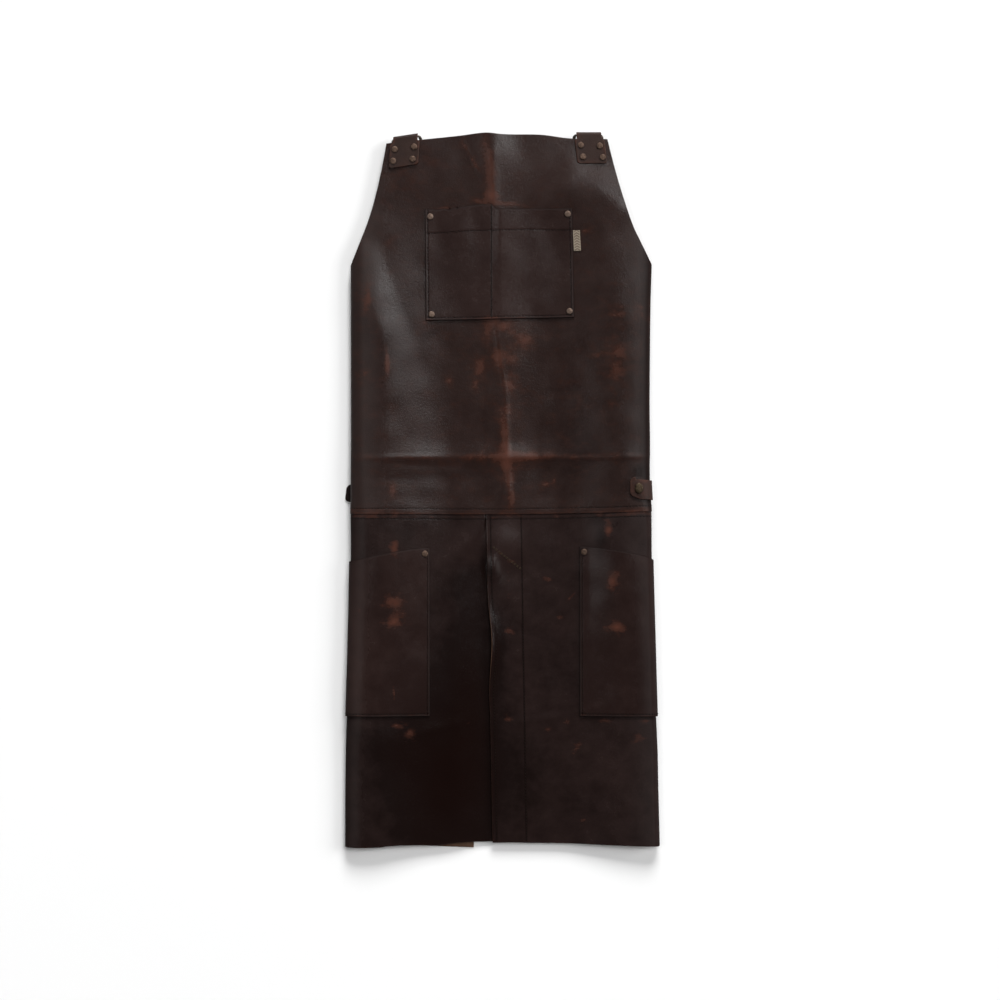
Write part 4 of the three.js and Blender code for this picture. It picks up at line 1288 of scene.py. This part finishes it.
def tab_surface(shoulder, across):
    """The profile carried across the strap; its front cups up as the cube of the way to its edges."""
    down, z, turn, half = (v[:, None] for v in tab_profile())
    x, y = tab_plan(shoulder, across * half, down)
    cup = TAB_CUP * np.abs(across) ** 3 * np.clip((down - 4) / 6, 0, 1) * (turn > 1.5)
    middle = np.stack([x, y, BAR_Z + z + cup + 0 * across], axis=-1)
    out_x, out_y = tab_plan((0.0, 0.0, *shoulder[2:]), 0.0, -np.cos(turn))
    outward = np.stack(np.broadcast_arrays(out_x, out_y, np.sin(turn)), axis=-1)
    return middle, unit(np.broadcast_to(outward, middle.shape))


# %% Shoulder tab meshes
TAB_TONE = {"left": 0.0, "right": 0.35}
across = np.linspace(-1, 1, 33)[None, :]
for side, shoulder in SHOULDERS.items():
    middle, normal = tab_surface(shoulder, across)
    tab_wear = {"rub": 0.35 * np.abs(across) ** 6, "tone_and_shading": TAB_TONE[side]}
    tab = leather_wall(f"shoulder_strap_{side}", middle, normal, tab_wear, bow=0.25, raw=0.55)
    dress(tab, TAB_FINISH, "tab_leather", f"shoulder_tab_{side}")

# %% [markdown]
# ## Metal
#
# All the fittings are plated and tarnished. One function makes their finishes: noise
# mixes a dark and a bright colour and dulls the bright parts, so that no two rivets
# look alike. The rings' wire is dark steel, thicker at its shoulders than at its bar.

# %% Metal finishes
def metal_finish(name, base, bright, dull):
    """Antique plating: tarnish in clouds and specks, brighter where noise says it is rubbed."""
    material, tree, shader = new_material(name)
    where = place_on(tree)
    tarnish = noise(tree, where, 420.0, 5.0, 0.6)
    specks = noise(tree, where, 1600.0, 3.0, 0.6)
    colour = blend_colour(tree, spread_out(tree, tarnish, 0.35, 0.68), base, bright)
    shader.inputs["Metallic"].default_value = 1.0
    tree.links.new(times(tree, tarnish, 0.25, dull - 0.12), shader.inputs["Roughness"])
    surface_of(tree, shader, colour, specks, 0.12, 0.0002)
    return material


RIVET_FINISH = metal_finish("antique_brass", (0.056, 0.036, 0.027), (0.132, 0.088, 0.067), 0.52)
CHEST_RIVET_FINISH = metal_finish("rubbed_brass", (0.082, 0.056, 0.044), (0.190, 0.136, 0.108), 0.50)
STUD_FINISH = metal_finish("antique_stud", (0.030, 0.022, 0.014), (0.072, 0.052, 0.034), 0.50)
RING_FINISH = metal_finish("dark_plated_steel", (0.035, 0.029, 0.026), (0.12, 0.10, 0.085), 0.36)
print("metal finishes:", [m.name for m in (RIVET_FINISH, CHEST_RIVET_FINISH, STUD_FINISH, RING_FINISH)])

# %% Strap rings
RING_WIRE, BOW_WIRE = 1.5, 2.2  # mm, half the wire's thickness at the bar and at the shoulders
BOW_GROWS, BOW_THINS, BOW_THIN_RUN = 2.5, 7.0, 8.0  # mm below the bar
BAR_HALF, RING_HALF, RING_DEPTH = 17.4, 19.6, 25.0
RING_DROOP = 25.0  # degrees, how far the ring hangs below level
RING_SHIFT = 1.2  # mm, each ring has slid towards the middle


def ring_path():
    """The wire's middle line: an oval bow below a straight bar, with small rounded corners."""
    drop = np.sqrt(1 - (BAR_HALF / RING_HALF) ** 2)
    tall = RING_DEPTH / (1 + drop)
    t = np.linspace(-np.arcsin(drop), np.pi + np.arcsin(drop), 64)
    bow = np.stack([-RING_HALF * np.cos(t), -tall * (drop + np.sin(t))], axis=-1)
    bar = np.stack([np.linspace(BAR_HALF, -BAR_HALF, 30)[1:-1], np.zeros(28)], axis=-1)
    path = np.concatenate([bow, bar])
    for _ in range(2):
        path = 0.5 * path + 0.25 * (np.roll(path, 1, axis=0) + np.roll(path, -1, axis=0))
    return path


def turned(a, b, degrees):
    """Two coordinates turned by an angle: a cos - b sin, and a sin + b cos."""
    turn = np.radians(degrees)
    return a * np.cos(turn) - b * np.sin(turn), a * np.sin(turn) + b * np.cos(turn)


def ring_points(shoulder, sides=16):
    """A round wire along the path, drooped about its bar and turned with it."""
    path = ring_path()
    along = unit(np.roll(path, -1, axis=0) - np.roll(path, 1, axis=0))
    outward = np.stack([along[:, 1], -along[:, 0]], axis=-1)
    angle = np.linspace(0, 2 * np.pi, sides, endpoint=False)
    below_bar = -path[:, 1]
    thick = ease(below_bar / BOW_GROWS) * (1 - ease((below_bar - BOW_THINS) / BOW_THIN_RUN))
    wire = mix(RING_WIRE, BOW_WIRE, thick)[:, None]
    flat = path[:, None, :] + (wire * np.cos(angle))[..., None] * outward[:, None, :]
    x, y = flat[..., 0] - np.sign(shoulder[0]) * RING_SHIFT, flat[..., 1]
    z = wire * np.sin(angle)
    y, z = turned(y, z, RING_DROOP)
    x, y = turned(x, y, shoulder[2])
    return np.stack([x + shoulder[0], y + shoulder[1], z + BAR_Z], axis=-1)


# %% Ring meshes
def closed_quads(rows, columns):
    """Quads over a grid that joins up both ways, as a ring of wire does."""
    at = np.arange(rows * columns).reshape(rows, columns)
    right, up = np.roll(at, -1, axis=1), np.roll(at, -1, axis=0)
    return np.stack([up, np.roll(right, -1, axis=0), right, at], axis=-1).reshape(-1, 4)


for side, shoulder in SHOULDERS.items():
    wire = ring_points(shoulder)
    ring = new_piece(f"wire_ring_{side}", wire.reshape(-1, 3), closed_quads(*wire.shape[:2]))
    dress(ring, RING_FINISH, "dark_steel", f"strap_ring_{side}", body=f"ring_{side}")

# %% [markdown]
# ## Rivets and the side stud
#
# A rivet is turned: a low domed cap with a fine rim, a post through the leather and a
# flat washer behind. Its profile is spun about its axis and set on the leather, square
# to it, at each place. The stud of the side tab is the same thing, larger.

# %% Turned metal
def spun(profile, sides):
    """A closed turned shape: rings of a profile that starts and ends on the axis."""
    radius, height = np.asarray(profile, float)[1:-1].T[..., None]
    angle = np.linspace(0, 2 * np.pi, sides, endpoint=False)
    x, y = radius * np.cos(angle), radius * np.sin(angle)
    body = np.stack([x, y, np.broadcast_to(height, x.shape)], axis=-1).reshape(-1, 3)
    points = np.concatenate([body, [[0, 0, profile[0][1]], [0, 0, profile[-1][1]]]])
    at = np.arange(x.size).reshape(x.shape)
    right = np.roll(at, -1, axis=1)
    walls = np.stack([at[:-1], right[:-1], right[1:], at[1:]], axis=-1).reshape(-1, 4)
    pairs = np.arange(0, sides, 2)
    low, high = np.full(len(pairs), at.size), np.full(len(pairs), at.size + 1)
    (foot_a, foot_b, foot_c), (top_a, top_b, top_c) = (
        (ring[pairs], ring[pairs + 1], ring[(pairs + 2) % sides]) for ring in (at[0], at[-1])
    )
    foot = np.stack([foot_a, low, foot_c, foot_b], axis=-1)
    crown = np.stack([top_a, top_b, top_c, high], axis=-1)
    return points, np.concatenate([walls, foot, crown])


def rivet_profile(cap, dome, back, grip, post=1.6, washer=0.7):
    """Washer, post, and a cap with a turned-down rim and a shallow dome."""
    t = np.linspace(0, 1, 8)[1:] * np.pi / 2
    rim = [(cap * 0.94, 0.0), (cap, dome * 0.25), (cap * 0.985, dome * 0.52), (cap * 0.94, dome * 0.68)]
    crown = np.stack([cap * 0.92 * np.cos(t), dome * (0.72 + 0.28 * np.sin(t))], axis=-1)
    low = -grip - washer
    foot = [(0.0, low), (back * 0.9, low), (back, -grip - washer * 0.5), (back * 0.95, -grip)]
    return np.concatenate([foot, [(post, -grip), (post, 0.0)], rim, crown])


# %% A set of rivets
def seats(x, y, slack=0.0):
    """Where caps sit: on the sheet with one piece of leather on it."""
    x, y = np.asarray(x, float), np.asarray(y, float)
    height = LEATHER / 2 + LAYER + GAP / 2 + slack
    return on_sheet(across_at(x, y), y, np.full(x.shape, height))


RIVET_SHAPE, STUD_SHAPE = (4.4, 1.3, 3.6), (7.2, 2.3, 3.8)  # mm, cap's radius, dome, washer's radius


def rivet_set(
    name, x, y, nodes, grip, shape=RIVET_SHAPE, sides=32, slack=0.0, narrow=1.0, finish=RIVET_FINISH
):
    """Rivets or a stud at places in plan; narrow draws the turned shape in across the apron."""
    places, normals = seats(x, y, slack)
    points, quads = spun(rivet_profile(*shape, grip), sides)
    across = unit(np.cross(np.broadcast_to([0.0, 1.0, 0.0], normals.shape), normals))
    caps = many(name, placed(points * (narrow, 1.0, 1.0), places, across, normals), quads)
    dress(caps, finish, "brass", *nodes)


# %% Set the rivets
CHEST_RIVETS = ((-99.0, 373.5), (89.5, 377.0), (-97.5, 239.5), (92.0, 244.0))
HIP_RIVETS = {"left": (-106.5, -88.0), "right": (112.0, -85.5)}
TAB_RIVETS = {  # across and down each tab, as they were punched by eye
    "left": ((-13.6, 14.2), (13.1, 14.7), (-14.8, 30.0), (12.3, 31.3)),
    "right": ((-12.9, 14.5), (12.9, 15.4), (-11.8, 30.7), (15.2, 31.3)),
}
SIDE_STUD = (185.8, 1.6)
GRIP_TWO, GRIP_THREE = 2 * LAYER, 3 * LAYER

chest_nodes = [f"chest_rivet_{k}" for k in range(1, 5)]
rivet_set("chest_rivets", *np.transpose(CHEST_RIVETS), chest_nodes, GRIP_TWO, finish=CHEST_RIVET_FINISH)
for side, (x, y) in HIP_RIVETS.items():
    rivet_set(f"hip_rivet_cap_{side}", [x], [y], [f"hip_rivet_{side}"], GRIP_TWO)
for side, shoulder in SHOULDERS.items():
    x, y = tab_plan(shoulder, *np.transpose(TAB_RIVETS[side]))
    tab_nodes = [f"shoulder_rivet_{side}_{k}" for k in range(1, 5)]
    rivet_set(f"shoulder_rivets_{side}", x, y, tab_nodes, GRIP_THREE)
rivet_set(
    "side_stud_cap", [SIDE_STUD[0]], [SIDE_STUD[1]], ["side_stud_right"], GRIP_TWO + 0.6,
    STUD_SHAPE, 48, slack=0.8, narrow=0.78, finish=STUD_FINISH,
)

# %% [markdown]
# ## Side tabs and label
#
# A short tab hugs the right fold, held by the stud, and the tip of the left one shows
# beyond the left fold. Beside the chest pocket a small woven tape is caught in the
# seam. Its face carries no letters, only a herringbone of thick threads.

# %% Side tabs
TAB_ROUND = 6.3
# The left tip's dark tone is painted shade: it lies on the floor under the left fold.
SIDE_TAB_WEAR_AND_SHADE = {"right": (0.30, -0.3, 0.6), "left": (0.0, -1.8, 0.0)}  # rub, tone, raw edge
RIGHT_TAB = (174.8, 3.4, 26.0, -7.0, 2.2, 0.8)  # inner x, y, width, slope, end, slack
LEFT_TAB = (-216.6, -172.0, -5.0, 24.0, 3.0)  # tip x, inner x, y, width, slant of the tip


def round_inset(row, half):
    """How far a rounded end draws back towards its corners, for rows from -1 to 1."""
    bend = np.maximum(0, np.abs(row) * half - (half - TAB_ROUND))
    return TAB_ROUND - np.sqrt(TAB_ROUND**2 - bend**2)


def right_tab_surface(column, row):
    """From its rounded end to the fold over columns 0 to 1, then round the fold."""
    inner_x, mid_y, width, slope, _, slack = RIGHT_TAB
    y = mid_y + row * width / 2 + np.minimum(column, 1.5) * 26 * np.tan(np.radians(slope))
    inner = across_at(inner_x + round_inset(row, width / 2), y)
    u = np.where(column < 1, mix(inner, 1.0, column), column)
    return on_sheet(u, y, LAYER + slack * (1 - ease(column - 1)))


def left_tab_surface(column, row):
    """A flat strap on the floor, from its rounded, slanting tip inwards."""
    tip, inner_x, mid_y, width, slant = LEFT_TAB
    x = mix(tip + slant * (row + 1) / 2 + round_inset(row, width / 2), inner_x, column)
    middle = np.stack([x, mid_y + row * width / 2, np.full(x.shape, LEATHER / 2)], axis=-1)
    return middle, np.broadcast_to([0.0, 0.0, 1.0], middle.shape)


# %% Side tab meshes
tab_rows = np.sin(np.linspace(-np.pi / 2, np.pi / 2, 29))
for side, surface, columns in (
    ("right", right_tab_surface, steps((0, 0.3, 10), (0.3, 1, 12), (1, 2, 16), (2, RIGHT_TAB[4], 4))),
    ("left", left_tab_surface, steps((0, 0.3, 12), (0.3, 1, 10))),
):
    U, V = np.meshgrid(columns, tab_rows)
    middle, normal = surface(U, V)
    # The left tip's tone is painted shade.
    rub, tone_and_shading, raw = SIDE_TAB_WEAR_AND_SHADE[side]
    tab = leather_wall(f"side_strap_{side}", middle, normal, {"rub": rub, "tone_and_shading": tone_and_shading}, raw=raw)
    dress(tab, TAB_FINISH, "tab_leather", f"side_tab_{side}")

# %% Label
LABEL_X, LABEL_Y, LABEL_TURN = 97.4, 340.8, 3.0
LABEL_WIDE, LABEL_TALL, LABEL_THICK = 9.2, 27.6, 0.8
CHEVRON_TALL, CHEVRON_BEND, BORDER_FROM = 3.6, 1.7, 0.37
WARP, WEFT = (0.100, 0.074, 0.052), (0.235, 0.192, 0.142)


def woven_finish():
    """Herringbone tape: bands that rise by the height and bend at the middle, in a cream border."""
    material, tree, shader = new_material("woven_tape")
    off_middle, up = read_mark(tree, "off_middle"), read_mark(tree, "up")
    bands = times(tree, off_middle, CHEVRON_BEND, maths(tree, "DIVIDE", up, CHEVRON_TALL))
    bands = maths(tree, "SINE", times(tree, bands, 2 * np.pi))
    worn = noise(tree, place_on(tree), 420.0, 4.0, 0.6)
    share = spread_out(tree, times(tree, worn, 1.2, bands), -0.1, 1.3)
    border = spread_out(tree, off_middle, BORDER_FROM, BORDER_FROM + 0.05)
    colour = blend_colour(tree, border, blend_colour(tree, share, WARP, WEFT), WEFT)
    shader.inputs["Roughness"].default_value = 0.85
    surface_of(tree, shader, colour, times(tree, bands, 0.5, worn), 0.5, 0.0004)
    return material


# %% Label mesh
def label_surface(column, row):
    """A strip beside the pocket's edge that lifts a little towards its free fold."""
    up = (row - 0.5) * LABEL_TALL
    y = LABEL_Y + up
    x = LABEL_X - up * np.tan(np.radians(LABEL_TURN)) + column * LABEL_WIDE
    rise = 0.5 * column**2 + 0.15 * np.sin(row * 9)
    return on_sheet(across_at(x, y), y, (LEATHER + LABEL_THICK) / 2 + GAP + rise)


U, V = np.meshgrid(np.linspace(0, 1, 17), np.linspace(0, 1, 41))
middle, normal = label_surface(U, V)
label_marks = {"off_middle": np.abs(U - 0.5), "up": V * LABEL_TALL}
label = leather_wall("woven_label", middle, normal, label_marks, thickness=LABEL_THICK, bow=0.3)
dress(label, woven_finish(), "woven_tape", "label")

# %% [markdown]
# ## Stitches
#
# The seams are sewn with thick dark thread. A row could be a bump in the leather's
# finish, but then it would vanish in the mesh. So each stitch is a small grain of
# thread: six sides, a few rings, its ends sunk in the leather. A seam is a path over a
# piece's surface, cut into equal lengths, with one grain on each.

# %% Stitch shape
THREAD, STITCH_LENGTH, STITCH_PITCH = 0.42, 3.3, 4.2
STITCH_RISE, STITCH_DIP = 0.30, 0.75  # mm, height of its middle, and how far its ends go down


def stitch_grain(rings=6, sides=6):
    """A grain along X: its thickness swells in the middle and its ends dip below the surface."""
    t = np.linspace(-1, 1, rings)[:, None]
    angle = np.linspace(0, 2 * np.pi, sides, endpoint=False)[None, :]
    thick = THREAD * (0.45 + 0.55 * np.sqrt(1 - 0.96 * t * t))
    x = t * STITCH_LENGTH / 2 + 0 * angle
    z = STITCH_RISE - STITCH_DIP * t**4 + thick * np.sin(angle)
    points = np.stack([x, thick * np.cos(angle), z], axis=-1).reshape(-1, 3)
    at = np.arange(rings * sides).reshape(rings, sides)
    right = np.roll(at, -1, axis=1)
    walls = np.stack([at[:-1], at[1:], right[1:], right[:-1]], axis=-1).reshape(-1, 4)
    first, last = at[0], at[-1]
    caps = [first[[0, 1, 2, 3]], first[[0, 3, 4, 5]], last[[3, 2, 1, 0]], last[[5, 4, 3, 0]]]
    return points, np.concatenate([walls, caps])


# %% Thread
def thread_finish(name, dark, light):
    """Waxed thread: noise mixes two dull colours and roughens the surface."""
    material, tree, shader = new_material(name)
    fuzz = noise(tree, place_on(tree), 1900.0, 3.0, 0.6)
    shader.inputs["Roughness"].default_value = 0.8
    shader.inputs["Specular IOR Level"].default_value = 0.1
    surface_of(tree, shader, blend_colour(tree, fuzz, dark, light), fuzz, 0.4, 0.0003)
    return material


THREAD_FINISH = thread_finish("waxed_thread", (0.003, 0.002, 0.0016), (0.010, 0.006, 0.0045))
WORN_THREAD = thread_finish("worn_thread", (0.022, 0.015, 0.009), (0.060, 0.043, 0.027))
print("threads:", THREAD_FINISH.name, WORN_THREAD.name)

# %% Stitches along a path
def seam_frames(points, normals):
    """Stitch places along a path: the middle of each equal length, its direction and normal."""
    gaps = np.linalg.norm(np.diff(points, axis=0), axis=-1)
    length = np.concatenate([[0], np.cumsum(gaps)])
    count = max(1, int(length[-1] / STITCH_PITCH))
    at = (np.arange(count) + 0.5) * length[-1] / count
    place, normal, along = (
        np.stack([np.interp(at, length, values[:, k]) for k in range(3)], axis=-1)
        for values in (points, normals, np.gradient(points, length, axis=0))
    )
    normal, along = unit(normal), unit(along)
    along = unit(along - normal * np.sum(along * normal, axis=-1, keepdims=True))
    return place, along, normal


def sew(name, paths, slot, finish=THREAD_FINISH):
    """Stitches along paths, each a surface's middle points and normals."""
    grain, quads = stitch_grain()
    frames = (seam_frames(middle + normal * LEATHER / 2, normal) for middle, normal in paths)
    rows = [placed(grain, place, along, up) for place, along, up in frames]
    dress(many(name, np.concatenate(rows), quads), finish, slot)


# %% Where the seams run
fine = np.linspace(0, 1, 400)
around = np.linspace(-2.9, 2.9, 1600)
SLANT_X, SLANT_Y, SLANT_GAP = (-14.0, 25.5), (-79.0, -110.0), (0.9, 1.3)  # double row at the slit


def waist_path(surface_side):
    """A row of stitches at one side of the waist seam, round both folds."""
    x = np.clip(around, -1, 1) * fold_start(around, WAIST_Y)
    y = seam_y(x) + surface_side * TOPSTITCH
    lap = LAP_HEIGHT if surface_side > 0 else 0.0
    return on_sheet(around, y, np.full(around.shape, seam_relief(TOPSTITCH, lap)))


def slit_rows():
    """Edge stitches, facing stitches and the slanting double row at the slit's head."""
    y = mix(*SLIT_ROW_Y, fine)
    slant_x, slant_y = mix(*SLANT_X, fine), mix(*SLANT_Y, fine)
    rows = [(slit_edge(y) + EDGE_ROW, y), (mix(*FACING_ROW_X, fine), y)]
    rows += [(slant_x, slant_y), (slant_x + SLANT_GAP[0], slant_y + SLANT_GAP[1])]
    return [on_sheet(across_at(x, at), at, slit_curl(x, at)) for x, at in rows]


def chest_rows_sewn():
    """Sides and bottom, the hem's row and the divider."""
    inset_c, inset_r = STITCH_INSET / CHEST_WIDE, STITCH_INSET / CHEST_TALL
    x, _, _, mouth, bottom = chest_edges(fine, 0.8)
    hem = (through(CHEST_HEM_X, CHEST_HEM_Y, x) - bottom) / (mouth - bottom)
    left, right = mix(*CHEST_LEFT_X, fine), mix(*CHEST_RIGHT_X, fine)
    level, across, up = np.ones(fine.shape), mix(inset_c, 1 - inset_c, fine), mix(inset_r, 0.985, fine)
    paths = [
        (level * inset_c, up),
        (level * (1 - inset_c), up),
        (across, level * inset_r),
        (across, hem),
        ((DIVIDER_X - left) / (right - left), mix(inset_r, 0.99, fine)),
    ]
    return [chest_surface(column, row) for column, row in paths]


def hip_rows_sewn(*place):
    """The inner seam and the bottom, round the fold."""
    inset_c, inset_r = STITCH_INSET / HIP_WIDE, STITCH_INSET / HIP_TALL
    level = np.ones(fine.shape)
    paths = [
        (level * inset_c, mix(inset_r, 0.985, fine)),
        (mix(inset_c, 1.85, fine), level * inset_r),
    ]
    return [hip_surface(*place, column, row) for column, row in paths]


# %% Sew the seams
sew("waist_stitches", [waist_path(1), waist_path(-1)], "bib_leather")
slit_sewn = slit_rows()
sew("slit_stitches", slit_sewn[:2], "leg_leather")
sew("slit_head_stitches", slit_sewn[2:], "leg_leather", WORN_THREAD)
sew("chest_stitches", chest_rows_sewn(), "pocket_leather")
for side, place in HIP_SIDES.items():
    sew(f"hip_stitches_{side}", hip_rows_sewn(*place), "pocket_leather")

# %% [markdown]
# ## Floor
#
# The floor is a plain pale surface just under the apron.

# %% Floor
FLOOR_HALF = 6.0  # metres
FLOOR_Z = -0.05  # mm
side_steps = np.linspace(-1, 1, 3)
floor_grid = np.stack(np.meshgrid(side_steps, side_steps), axis=-1) * FLOOR_HALF / MM
floor_points = np.concatenate([floor_grid.reshape(-1, 2), np.full((9, 1), FLOOR_Z)], axis=-1)
floor = new_piece("floor", floor_points, grid_quads(3, 3))
floor_material, _, floor_shader = new_material("pale_floor")
floor_shader.inputs["Base Color"].default_value = (0.843, 0.843, 0.843, 1.0)
floor_shader.inputs["Roughness"].default_value = 0.9
floor.data.materials.append(floor_material)
print("floor:", 2 * FLOOR_HALF, "m wide")
